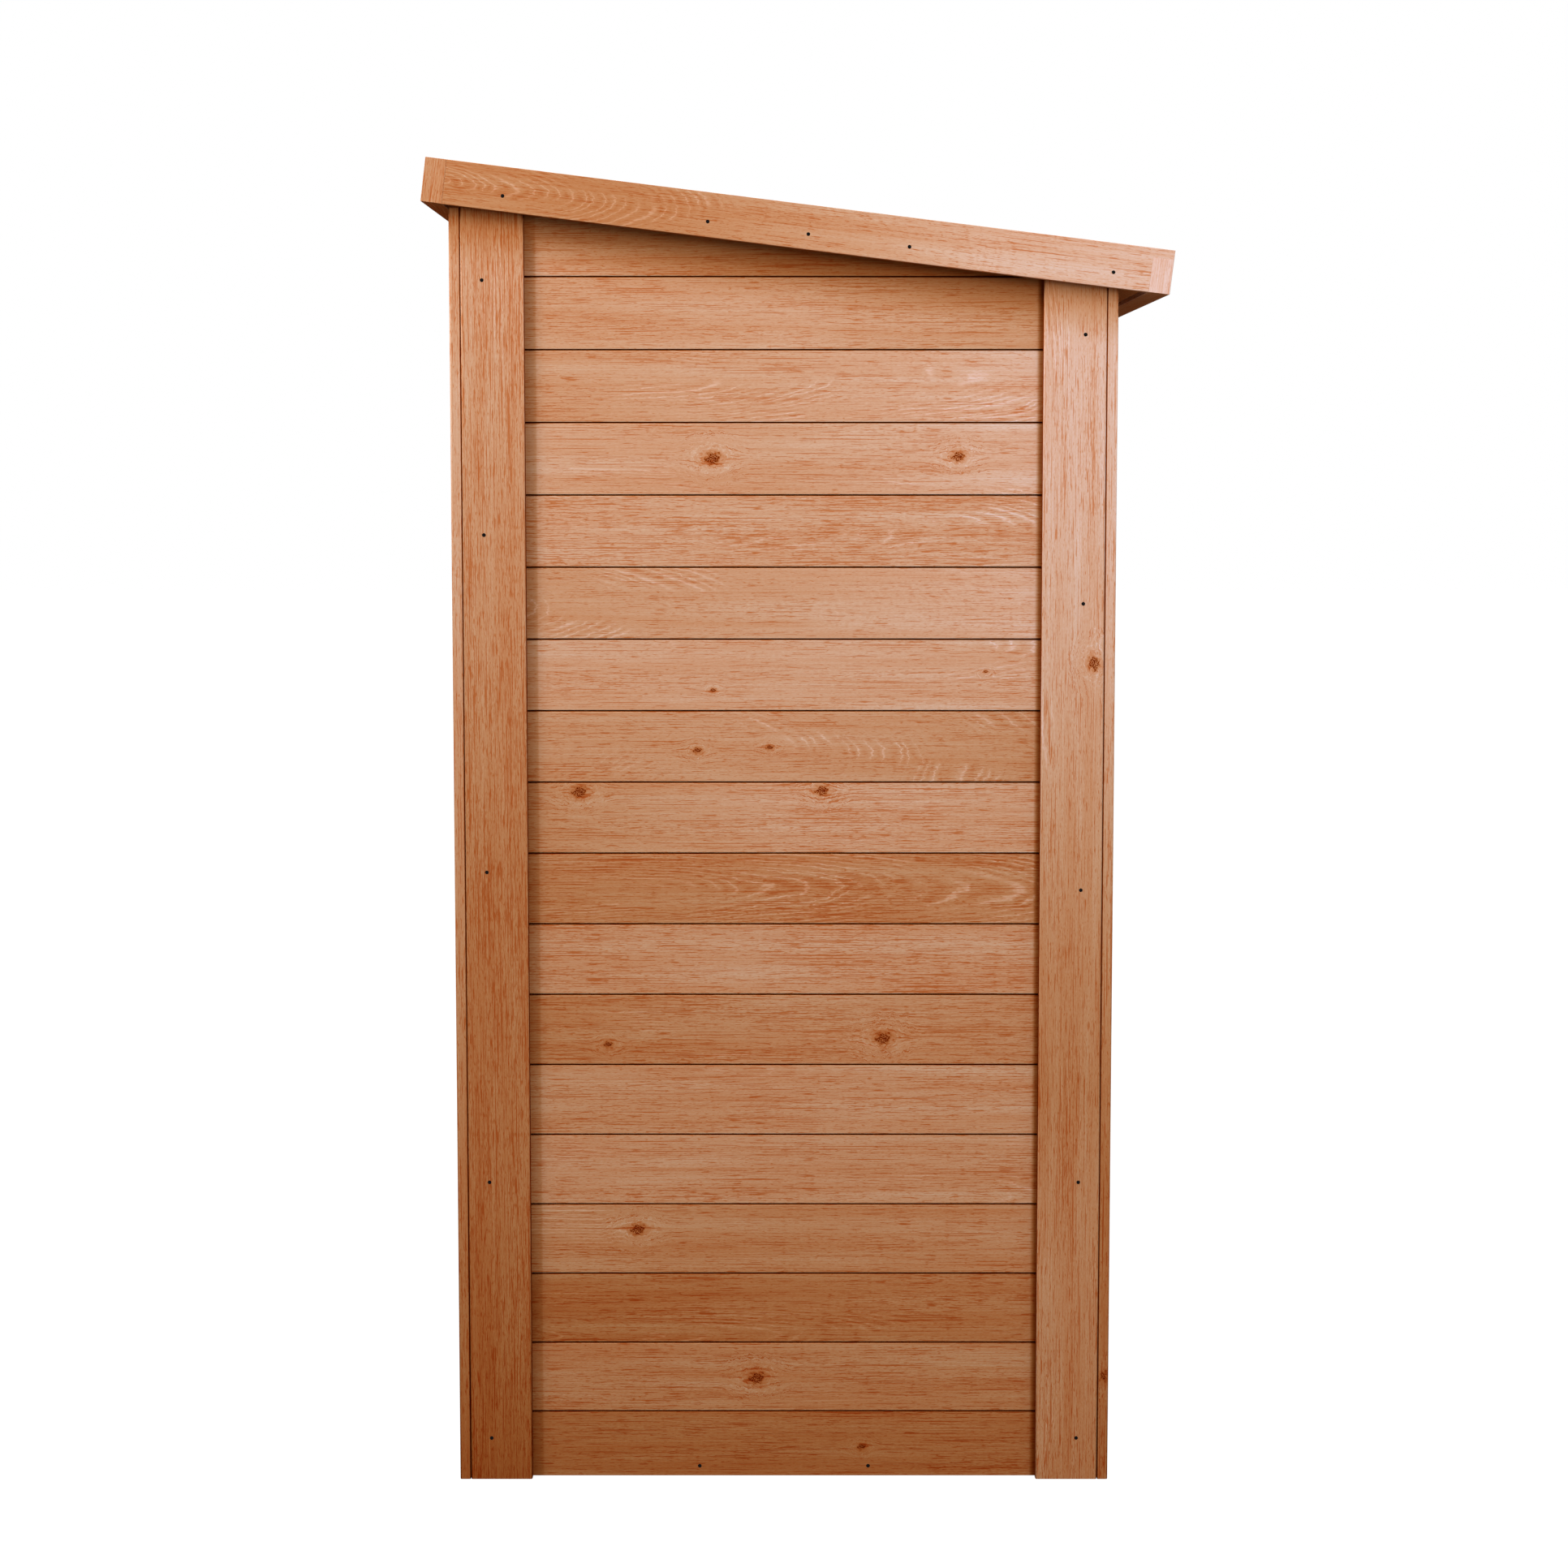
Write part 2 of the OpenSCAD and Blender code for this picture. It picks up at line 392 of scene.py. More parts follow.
@dataclass(frozen=True)
class StainedTimber(Finish):
    """Softwood under a red-brown stain. What shows in it is how deep the stain lies: pores and
    knots take more, growth lines take less, and the wood is darker towards the bottom. More stain
    also paints shade in the joints, on shaded edges, beside the trims and under the roof.

    Attributes:
        bare: Colour of the wood where the stain is thinnest.
        filter: What one measure of stain lets through of red, green and blue.
        grain_filter: The same for the stain in the grain, which is redder.
        by_height: Heights over the ground and measures of stain there.
        ring_pitch: Distance between growth rings.
        pooled: Width of the painted shade in the corner beside a trim.
        band: Where the painted shadow beside the first trim ends, and where it is full.
        sheltered: How far down from the roof the painted shade under it reaches.
        roof_full: How far over the roof's underside that painted shade would be full.
        in_joints: Measures of stain that paint shade in the joints and on shaded edges.
        in_corners: The same beside the first and the last trim, as painted shade.
        in_band: The same in that painted shadow.
        under_roof: The same under the roof, as painted shade.
        rough: Middle value of the roughness.
        relief: Strength of the grain's relief.
    """

    name: str = "stained_timber"
    bare: tuple[float, ...] = paint(216, 176, 156)
    filter: tuple[float, float, float] = (0.61, 0.37, 0.17)
    grain_filter: tuple[float, float, float] = (0.78, 0.40, 0.20)
    by_height: tuple[tuple[float, float], ...] = (
        (0.0, 1.15),
        (0.25, 0.9),
        (0.5, 0.7),
        (1.0, 0.55),
        (1.4, 0.35),
        (2.3, 0.3),
    )
    ring_pitch: float = 0.0043
    pooled: float = 0.011
    band: tuple[float, float] = (0.020, 0.016)
    sheltered: float = 0.11
    roof_full: float = 0.02
    in_joints: float = 2.5
    in_corners: tuple[float, float] = (0.15, 1.4)
    in_band: float = 0.28
    under_roof: float = 0.95
    rough: float = 0.72
    relief: float = 0.22

    def write(self, tree: Tree) -> None:
        """Writes the material's nodes."""
        along, across, depth = tree.split(tree.attribute("grain"))
        # The heart's third part is how much painted shade a joint or an edge takes.
        aside, behind, shaded_edge = tree.split(tree.attribute("heart"))
        # The corner holds distances that place the painted shade beside the trims and under the
        # roof.
        before, after, below = tree.split(tree.attribute("corner"))
        tone, dashes, figure = tree.split(tree.attribute("look"))

        # Grain parts round a knot, so places near it are drawn in to its middle line.
        depths = tree.split(tree.attribute("knot_depth"))
        knots = [KnotFields.read(tree, f"knot_{which}", deep) for which, deep in zip("ab", depths)]
        for knot in knots:
            across = across - knot.pull
            aside = aside - knot.pull
        wood = Grain(tree, along, across, depth)
        line, late = self._growth_lines(wood, aside, behind, knots)

        reach = 0.62 - figure * 0.26
        boldness = wood.noise(4.2, 15.0).step(reach, reach + 0.14) * (figure * 0.75 + 0.25)
        broad = wood.swing(1.7, 30.0, 3.0, 0.55)
        soft = wood.swing(7.0, 140.0)
        vein = wood.swing(2.0, 420.0, 1.0)
        fine = wood.swing(17.0, 460.0, 2.0, 0.6)
        fibre = wood.swing(170.0, 640.0, 1.0)
        pore = self._pores(wood, dashes, late)
        # Darker towards the bottom, a little unevenly.
        height_darkening = self._height_stain(tree, wood.swing(1.1, 6.0))

        grain = broad * 0.80 + soft * 0.14 + vein * 0.52 + fine * 0.14 + fibre * 0.42 + pore * 0.85
        grain = grain + boldness * late * 0.16
        grain = grain * (height_darkening * 0.55 + 0.74)
        for knot in knots:
            grain = grain + knot.halo * 0.20 + knot.body * 0.26 - knot.rings * 0.30
        # Extra stain in the joints and on shaded edges is painted shade.
        stain = tone + height_darkening + shaded_edge * self.in_joints - boldness * line * (fine * 0.9 + 0.44)
        for knot in knots:
            stain = stain + knot.core * 2.5 + knot.body * 0.22
        # Painted shade in the corners beside the trims, and a strip of painted shadow beside the
        # first trim.
        first, last = self.in_corners
        stain = stain + after.step(self.pooled, 0.0) * last + before.step(self.pooled, 0.0) * first
        stain = stain + before.step(*self.band) * self.in_band
        # Painted shade under the roof's edge.
        stain = stain + below.step(self.sheltered, -self.roof_full) * self.under_roof

        filters = zip(self.filter, self.grain_filter, strict=True)
        through = [coat**stain * red**grain for coat, red in filters]
        colour = tree.mix(1.0, self.bare, tree.colour(*through), "MULTIPLY")
        relief = line * 0.35 + vein * 0.5 - pore * 0.9
        normal = tree.bump(self.relief, 0.0006, relief)
        tree.surface(
            {
                "Base Color": colour,
                "Roughness": fine * 0.16 + pore * 0.10 + self.rough,
                "Specular IOR Level": 0.0,
                "Normal": normal,
            }
        )

    def _growth_lines(
        self, wood: Grain, aside: Value, behind: Value, knots: list[KnotFields]
    ) -> tuple[Value, Value]:
        """Cuts through the growth rings, which wander slowly and are a little ragged.

        Args:
            wood: The place in the wood.
            aside: Distance beside the heart of the log.
            behind: Distance before the heart of the log.
            knots: The knots that the rings run round.

        Returns:
            The pale line of each ring, and the deeper wood between two lines.
        """
        drift = wood.tree.split(wood.noise(2.2, 5.0, output="Color"))
        waver = wood.swing(9.0, 42.0)
        ragged = wood.swing(60.0, 260.0, 1.0)
        side = aside + (drift[0] - 0.5) * 0.030
        back = behind + (drift[1] - 0.5) * 0.040
        radius = (side * side + back * back) ** 0.5 + waver * 0.005 + ragged * 0.0024
        rings = radius * (1 / self.ring_pitch)
        inputs = {"W": rings * 0.31, "Scale": 1.0}
        uneven = wood.tree.node("ShaderNodeTexNoise", {"noise_dimensions": "1D"}, inputs)
        rings = rings + uneven * 2.2
        for knot in knots:
            rings = rings + knot.near * knot.distance * 1.3
        wave = rings.math("PINGPONG", 0.5) * 2
        return wave.step(0.70, 0.97), wave.step(0.60, 0.0)

    @staticmethod
    def _pores(wood: Grain, dashes: Value, late: Value) -> Value:
        """Short pores, crowded in some bands and nearly absent in others."""
        crowd = wood.noise(3.2, 30.0) * 0.70 + dashes * 0.42 + late * 0.12
        streaks = wood.noise(5.0, 460.0, 1.0) + crowd * 0.26
        long_pores = wood.noise(24.0, 560.0, 1.0) + crowd * 0.32
        short_pores = wood.noise(90.0, 700.0, 1.0) + crowd * 0.30
        pore = streaks.step(0.78, 0.85) * 0.9 + long_pores.step(0.79, 0.85) * 0.9
        return (pore + short_pores.step(0.79, 0.85) * 0.65).clamped()

    def _height_stain(self, tree: Tree, patches: Value) -> Value:
        """How much stain lies at each height, a little unevenly."""
        height = tree.split(tree.object_place())[2] + patches * 0.12
        top = self.by_height[-1][0]
        stops = [(z / top, (amount, amount, amount, 1.0)) for z, amount in self.by_height]
        ramp = tree.node("ShaderNodeValToRGB", {"stops": stops}, {"Fac": height * (1 / top)})
        return tree.split(ramp)[0]


@dataclass(frozen=True)
class NailIron(Finish):
    """Blackened iron of the nail heads.

    Attributes:
        colour: Colour of the iron.
        metallic: How metallic it is.
        scale: Blotches to the metre.
    """

    name: str = "nail_iron"
    colour: tuple[float, ...] = paint(10, 8, 8)
    metallic: float = 0.2
    scale: float = 900.0

    def write(self, tree: Tree) -> None:
        """Writes the material's nodes."""
        blotches = tree.noise(tree.scaled(tree.object_place(), self.scale))
        tree.surface(
            {
                "Base Color": self.colour,
                "Metallic": self.metallic,
                "Roughness": blotches * 0.35 + 0.45,
                "Specular IOR Level": 0.08,
            }
        )


@dataclass(frozen=True)
class MineralFelt(Finish):
    """Roofing felt faced with grey mineral granules.

    Attributes:
        bitumen: Colour between the granules.
        granule: Colour of most granules.
        fleck: Colour of the palest granules.
        grit: Granules to the metre.
    """

    name: str = "mineral_felt"
    bitumen: tuple[float, ...] = paint(38, 40, 41)
    granule: tuple[float, ...] = paint(92, 97, 96)
    fleck: tuple[float, ...] = paint(150, 155, 152)
    grit: float = 620.0

    def write(self, tree: Tree) -> None:
        """Writes the material's nodes."""
        place = tree.object_place()
        cells = {"Vector": place, "Scale": self.grit}
        pick, shade, _ = tree.split(tree.node("ShaderNodeTexVoronoi", {}, cells, "Color"))
        edge = tree.node("ShaderNodeTexVoronoi", {}, cells, "Distance")
        weather = tree.noise(tree.scaled(place, 3.0), 4.0, 0.6)
        scuff = tree.noise(tree.scaled(place, 22.0), 3.0, 0.6)
        covered = edge.step(0.75, 0.35) * (0.55 + shade * 0.45)
        colour = tree.mix(covered, self.bitumen, self.granule)
        colour = tree.mix(pick.step(0.86, 0.94) * 0.7, colour, self.fleck)
        colour = tree.mix(weather.step(0.40, 0.75) * 0.35, colour, self.fleck)
        colour = tree.mix(scuff.step(0.58, 0.72) * 0.4, colour, self.bitumen)
        normal = tree.bump(0.5, 0.0008, 1.0 - edge)
        tree.surface(
            {
                "Base Color": colour,
                "Roughness": weather * 0.12 + 0.82,
                "Specular IOR Level": 0.3,
                "Normal": normal,
            }
        )


STAINED = StainedTimber()
FRAME_TIMBER = StainedTimber(
    name="planed_timber",
    bare=paint(218, 178, 142),
    filter=(0.72, 0.50, 0.30),
    grain_filter=(0.86, 0.62, 0.42),
    # The stain from 1.85 m up is painted shade on the frame and the deck under the roof; the frame
    # is also darker at its foot.
    by_height=((0.0, 0.45), (0.3, 0.25), (1.85, 0.25), (2.0, 1.0), (2.3, 1.0)),
    relief=0.15,
)


# ---------------------------------------------------------------------------------------------
# Pieces of timber
# ---------------------------------------------------------------------------------------------


class Sawn(Enum):
    """How a piece was sawn from the log: how far aside and behind the heart lies, and how steeply
    the piece runs out of line with it."""

    ARCHED = (0.004, 0.150, 0.200)
    CROWN = (0.008, 0.040, 0.100)
    HALF_CROWN = (0.046, 0.034, 0.080)
    RIFT = (0.095, 0.085, 0.030)
    QUARTER = (0.200, 0.020, 0.012)


class Coat(Enum):
    """How heavily a piece took the stain, in measures over or under the rest."""

    BARE = -0.32
    PALE = -0.16
    EVEN = 0.0
    DEEP = 0.16
    DARK = 0.32
    SOAKED = 0.48


class Side(Enum):
    """A side of the shed, by the direction that it faces."""

    FRONT = (0.0, -1.0, 0.0)
    BACK = (0.0, 1.0, 0.0)
    LEFT = (-1.0, 0.0, 0.0)
    RIGHT = (1.0, 0.0, 0.0)

    @property
    def out(self) -> Vector:
        """The direction as a vector."""
        return Vector(self.value)

    @property
    def word(self) -> str:
        """The side's name as the pieces' names have it."""
        return self.name.lower()


@dataclass(frozen=True)
class Knot:
    """A knot, which runs straight through the piece or sits in one of its long edges.

    Attributes:
        along: Distance of its middle from the start of the piece.
        across: Distance of its middle from the piece's lower edge.
        radius: Radius of its dark middle.
        behind: How far behind the good face the middle of a knot in an edge lies.
    """

    along: float
    across: float
    radius: float
    behind: float | None = None


@dataclass(frozen=True)
class Look:
    """What sets one piece of timber apart from the next.

    Attributes:
        coats: How heavily it took the stain, at even steps from its start to its end.
        dashes: How many short pores show, from 0 to 1.
        figure: How boldly the growth lines show, from 0 to 1, at even steps from start to end.
        sawn: How it was sawn.
        knots: At most two knots.
        flip: Whether the heart lies on the other side.
        rising: Whether the growth lines point towards its end.
        ends: How much more or less stain its sawn ends took.
    """

    coats: tuple[Coat, ...] = (Coat.EVEN, Coat.EVEN)
    dashes: float = 0.5
    figure: tuple[float, ...] = (0.5, 0.5)
    sawn: Sawn = Sawn.RIFT
    knots: tuple[Knot, ...] = ()
    flip: bool = False
    rising: bool = True
    ends: Coat = Coat.EVEN

    @staticmethod
    def drawn(name: str, length: float, width: float, knotty: float = 0.4) -> "Look":
        """A look drawn at random from a name.

        Args:
            name: What the draw is seeded with.
            length: Length of the piece.
            width: Width of the piece.
            knotty: Chance of each of two knots.

        Returns:
            The look.
        """
        draw = random.Random(name)
        coat = draw.choice(list(Coat)[1:5])

        def knot() -> Knot:
            """A knot somewhere on the good face."""
            along, across = draw.uniform(0.05, 0.95) * length, draw.uniform(0.2, 0.8) * width
            return Knot(along, across, draw.uniform(0.005, 0.012))

        knots = tuple(knot() for _ in range(2) if draw.random() < knotty)
        return Look(
            coats=(coat, draw.choice((coat, Coat.EVEN))),
            dashes=draw.uniform(0.2, 0.85),
            figure=(draw.uniform(0.1, 0.8), draw.uniform(0.1, 0.8)),
            sawn=draw.choice(list(Sawn)),
            knots=knots,
            flip=draw.random() < 0.5,
            rising=draw.random() < 0.5,
        )


def graded(steps: Sequence[float], part: float) -> float:
    """The value at a part of a length, from values at even steps over it."""
    place = min(max(part, 0.0), 1.0) * (len(steps) - 1)
    first = min(int(place), len(steps) - 2)
    return steps[first] + (steps[first + 1] - steps[first]) * (place - first)


@dataclass(frozen=True)
class Lay:
    """Where a piece of timber lies. Its own frame runs along the grain, across its good face from
    the lower edge, and out of that face.

    Attributes:
        origin: The corner of the good face at its start and lower edge.
        along: Direction of the grain.
        out: Direction that the good face looks in.
    """

    origin: Vector
    along: Vector
    out: Vector

    @property
    def across(self) -> Vector:
        """Direction over the width of the good face."""
        return self.out.cross(self.along)

    @property
    def matrix(self) -> Matrix:
        """From the piece's own frame to the shed's."""
        turn = Matrix((self.along, self.across, self.out)).transposed().to_4x4()
        return Matrix.Translation(self.origin) @ turn


def finished(bm: bmesh.types.BMesh, name: str = "part") -> bpy.types.Mesh:
    """A mesh from a shape, which is then freed."""
    made = bpy.data.meshes.new(name)
    bm.to_mesh(made)
    bm.free()
    return made


def sliced(
    bm: bmesh.types.BMesh, point: Sequence[float], normal: Sequence[float], clear: bool = False
) -> dict[str, list[Any]]:
    """Cuts a shape along a plane.

    Args:
        bm: The shape.
        point: A point on the plane.
        normal: The plane's normal.
        clear: Whether what lies on the normal's side goes.

    Returns:
        What Blender says it made.
    """
    return bmesh.ops.bisect_plane(
        bm,
        geom=[*bm.verts, *bm.edges, *bm.faces],
        dist=HAIR,
        plane_co=point,
        plane_no=normal,
        clear_outer=clear,
    )


def rounded(
    bm: bmesh.types.BMesh, edges: list[bmesh.types.BMEdge], radius: float, segments: int
) -> list[bmesh.types.BMFace]:
    """Rounds edges of a shape.

    Args:
        bm: The shape.
        edges: The edges.
        radius: Radius of the rounding.
        segments: Faces across it.

    Returns:
        The faces that round the edges.
    """
    made = bmesh.ops.bevel(
        bm,
        geom=edges,
        offset=radius,
        offset_type="OFFSET",
        segments=segments,
        profile=0.5,
        affect="EDGES",
        material=-1,
    )
    return made["faces"]


def box_corner(low: Vector, high: Vector, z: float, along: Vector, out: Vector) -> Vector:
    """The corner of a box that comes first along one direction and outermost along another.

    Args:
        low: The box's lower corner.
        high: Its upper corner.
        z: Height of the point that is wanted.
        along: The first direction.
        out: The other direction.

    Returns:
        The corner, at that height.
    """
    corners = (Vector((x, y, z)) for x in (low.x, high.x) for y in (low.y, high.y))
    return min(corners, key=lambda c: (round(c.dot(along), 6), -round(c.dot(out), 6)))


@dataclass(frozen=True)
class Plane:
    """A saw cut, which takes away what lies on the side that the normal points to.

    Attributes:
        point: A point on the cut.
        normal: Its normal.
    """

    point: Vector
    normal: Vector

    def cut(self, bm: bmesh.types.BMesh) -> None:
        """Cuts a closed shape and closes it again with a flat face."""
        made = sliced(bm, self.point, self.normal, clear=True)
        rim = [e for e in made["geom_cut"] if isinstance(e, bmesh.types.BMEdge) and e.is_boundary]
        if rim:
            for face in bmesh.ops.holes_fill(bm, edges=rim, sides=0)["faces"]:
                face.smooth = False


@dataclass
class Timber:
    """One solid piece of timber.

    Attributes:
        lay: Where it lies.
        length: Size along the grain.
        width: Size across the good face.
        thickness: Size behind the good face.
        look: Its grain, knots and tone.
        name: What its grain is drawn from.
        arris: Radius of the rounded long edges.
        low_arris: Radius of the long edge at the start of the face's width, where it differs.
        back_arris: Radius of the back's long edges, where it differs.
        end_arris: Radius of the edges round its ends.
        cuts: Saw cuts made once it is in place.
        section: Points round its section, across and out, where that isn't a rectangle.
        covered: How much of each end lies behind a trim.
        pooled: How much painted shade its lower and upper edges take, from 0 to 1.
        pooled_back: How much painted shade the arrises of the back take.
        roof: Underside of the roof over a piece, from which its painted shade is measured.
    """

    lay: Lay
    length: float
    width: float
    thickness: float
    look: Look
    name: str
    arris: float = 0.0015
    low_arris: float | None = None
    back_arris: float | None = None
    end_arris: float = 0.0006
    cuts: Sequence[Plane] = ()
    section: Sequence[tuple[float, float]] = ()
    covered: float = 0.0
    pooled: tuple[float, float] = (0.0, 0.0)
    pooled_back: float = 0.0
    roof: Plane | None = None

    JOINT_SHADE: ClassVar[tuple[float, float]] = (0.0002, 0.0014)  # behind the face: begins, full
    BACK_SLACK: ClassVar[float] = 0.001
    END_FIGURE: ClassVar[float] = 0.35
    END_HEART: ClassVar[tuple[float, float]] = (0.3, 0.02)  # aside and behind
    NO_KNOT: ClassVar[Knot] = Knot(-9.0, -9.0, 0.01)
    LAYERS: ClassVar[tuple[str, ...]] = (
        "grain",
        "heart",
        "look",
        "corner",
        "knot_a",
        "knot_b",
        "knot_depth",
    )

    def mesh(self) -> bpy.types.Mesh:
        """Builds the piece in place.

        Returns:
            A mesh that carries the grain's attributes.
        """
        bm = bmesh.new()
        outline = self.section or (
            (0.0, 0.0),
            (self.width, 0.0),
            (self.width, -self.thickness),
            (0.0, -self.thickness),
        )
        ring = [bm.verts.new((0.0, across, out)) for across, out in outline]
        start = bm.faces.new(ring)
        grown = bmesh.ops.extrude_face_region(bm, geom=[start])
        moved = [v for v in grown["geom"] if isinstance(v, bmesh.types.BMVert)]
        bmesh.ops.translate(bm, verts=moved, vec=(self.length, 0.0, 0.0))
        bmesh.ops.recalc_face_normals(bm, faces=bm.faces)
        self._round(bm)
        counts = (len(self.look.coats), len(self.look.figure))
        stops = {step / (count - 1) for count in counts for step in range(1, count - 1)}
        for part in sorted(stops):  # an edge all round wherever the look changes
            sliced(bm, (part * self.length, 0.0, 0.0), (1.0, 0.0, 0.0))
        bmesh.ops.transform(bm, matrix=self.lay.matrix, verts=bm.verts)
        for plane in self.cuts:
            plane.cut(bm)
        bmesh.ops.recalc_face_normals(bm, faces=bm.faces)
        self._mark(bm)
        return finished(bm)

    def _round(self, bm: bmesh.types.BMesh) -> None:
        """Rounds the long edges of the good face and of a plain back, then the ends."""

        def long_edge(edge: bmesh.types.BMEdge, low: bool) -> bool:
            """Whether an edge runs along the good face, on its lower or its upper side."""
            a, b = (v.co for v in edge.verts)
            return abs(a.x - b.x) > 10 * NEAR and a.z > -HAIR and (a.y < self.width / 2) == low

        def back_edge(edge: bmesh.types.BMEdge) -> bool:
            """Whether an edge runs along a plain back."""
            a, b = (v.co for v in edge.verts)
            return abs(a.x - b.x) > 10 * NEAR and a.z < HAIR - self.thickness and not self.section

        def end_edge(edge: bmesh.types.BMEdge) -> bool:
            """Whether an edge lies round an end."""
            a, b = (v.co for v in edge.verts)
            return abs(a.x - b.x) < HAIR and (min(a.z, b.z) > -HAIR or not self.section)

        rounds = (
            (lambda e: long_edge(e, True), self._or_arris(self.low_arris), 3),
            (lambda e: long_edge(e, False), self.arris, 3),
            (back_edge, self._or_arris(self.back_arris), 3),
            (end_edge, self.end_arris, 1),
        )
        for chosen, radius, segments in rounds:
            edges = [e for e in bm.edges if chosen(e)]
            if radius > 0 and edges:
                for face in rounded(bm, edges, radius, segments):
                    face.smooth = True

    def _or_arris(self, radius: float | None) -> float:
        """A radius, or that of the other long edges where it doesn't differ."""
        return self.arris if radius is None else radius

    def _mark(self, bm: bmesh.types.BMesh) -> None:
        """Writes the grain's attributes from each corner's place in the piece's own frame."""
        draw = random.Random(self.name)
        start = draw.uniform(-40.0, 40.0)
        aside, behind, steep = self.look.sawn.value
        side = -1.0 if self.look.flip else 1.0
        aside = self.width / 2 + side * aside * draw.uniform(0.8, 1.2)
        behind *= draw.uniform(0.85, 1.2)
        steep *= draw.uniform(0.8, 1.2) * (1.0 if self.look.rising else -1.0)
        skew = side * draw.uniform(-0.012, 0.012)
        knots = (*self.look.knots, self.NO_KNOT, self.NO_KNOT)[:2]
        coats = [coat.value for coat in self.look.coats]
        layers = {name: bm.loops.layers.float_vector.new(name) for name in self.LAYERS}
        home = self.lay.matrix.inverted()
        turned = home.to_3x3()
        for face in bm.faces:
            is_end = abs((turned @ face.normal).x) > 0.9
            for corner in face.loops:
                along, across, out = home @ corner.vert.co
                part = along / self.length
                tone = graded(coats, part)
                figure = graded(self.look.figure, part)
                if is_end:  # the lines stand upright on the ends
                    corner[layers["grain"]] = (start + across, out, along)
                    corner[layers["heart"]] = (self.END_HEART[0] + out, self.END_HEART[1], 0.0)
                    tone += self.look.ends.value
                    figure *= self.END_FIGURE
                else:
                    corner[layers["grain"]] = (start + along, across, out)
                    beside = across - aside + skew * along
                    rise = out + behind + steep * (along - self.length / 2)
                    corner[layers["heart"]] = (beside, rise, self._pooling(across, out))
                corner[layers["corner"]] = self._shelter(along, corner.vert.co)
                corner[layers["look"]] = (tone, self.look.dashes, figure)
                depths = (0.0 if knot.behind is None else out + knot.behind for knot in knots)
                corner[layers["knot_depth"]] = (*depths, 0.0)
                for layer, knot in zip(("knot_a", "knot_b"), knots, strict=True):
                    corner[layers[layer]] = (along - knot.along, across - knot.across, knot.radius)

    def _shelter(self, along: float, point: Vector) -> tuple[float, float, float]:
        """Distances past the trims at both ends and under the roof, for painted shade; 1 where
        there is none.
        """
        below = (self.roof.point - point).dot(self.roof.normal) if self.roof else 1.0
        if not self.covered:
            return 1.0, 1.0, below
        return along - self.covered, self.length - self.covered - along, below

    def _pooling(self, across: float, out: float) -> float:
        """How much painted shade a place in the section takes, in a joint or on an edge, from 0 to
        1.
        """
        if self.section:
            if out < self.BACK_SLACK - self.thickness:
                return 0.0
            begins, full = self.JOINT_SHADE
            return min(max((-out - begins) / (full - begins), 0.0), 1.0)
        shade_amount = 0.0
        for edge, amount in zip((across, self.width - across), self.pooled, strict=True):
            if edge < self.arris * 0.1 and out < -0.9 * self.arris:
                shade_amount = max(shade_amount, amount)
        if out < -self.thickness + self._or_arris(self.back_arris) * 0.6:
            shade_amount = max(shade_amount, self.pooled_back)
        return shade_amount


@dataclass
class Piece:
    """A finished object that rides on the shed.

    Attributes:
        name: Name of the object.
        slot: The record's material slot; not used.
        finish: What the piece is dressed in.
        replaces: The CAD nodes that it stands for.
        bm: Its shape so far.
    """

    name: str
    slot: str
    finish: Finish
    replaces: Sequence[str] = ()
    bm: bmesh.types.BMesh = field(default_factory=bmesh.new)

    def add(self, part: bpy.types.Mesh) -> None:
        """Takes in a mesh, which is then removed."""
        self.bm.from_mesh(part)
        bpy.data.meshes.remove(part)

    def place(self) -> None:
        """Makes the object, dresses it and has it ride on the shed."""
        mesh = finished(self.bm, self.name)
        mesh.materials.append(self.finish.material())
        made = bpy.data.objects.new(self.name, mesh)
        bpy.context.scene.collection.objects.link(made)
        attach(made, "root")
        if self.replaces:
            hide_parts(*self.replaces)
        stands_for = ", ".join(self.replaces) or "no node"
        LOG.info("%s: %d faces, stands for %s", self.name, len(mesh.polygons), stands_for)


def stained(node: str, slot: str, part: bpy.types.Mesh) -> None:
    """Places one stained timber, named after the CAD node that it stands for."""
    piece = Piece(node, slot, STAINED, [node])
    piece.add(part)
    piece.place()


# ---------------------------------------------------------------------------------------------
# The roof's slope
# ---------------------------------------------------------------------------------------------


@dataclass(frozen=True)
class Bar:
    """A roof timber's section on the slope.

    Attributes:
        start: Its upper side, down the slope from the middle.
        end: Its lower side, down the slope from the middle.
        bottom: Its underside, square to the slope.
        top: Its top, square to the slope.
        front: Its end towards the front.
        back: Its end towards the back.
    """

    start: float
    end: float
    bottom: float
    top: float
    front: float
    back: float


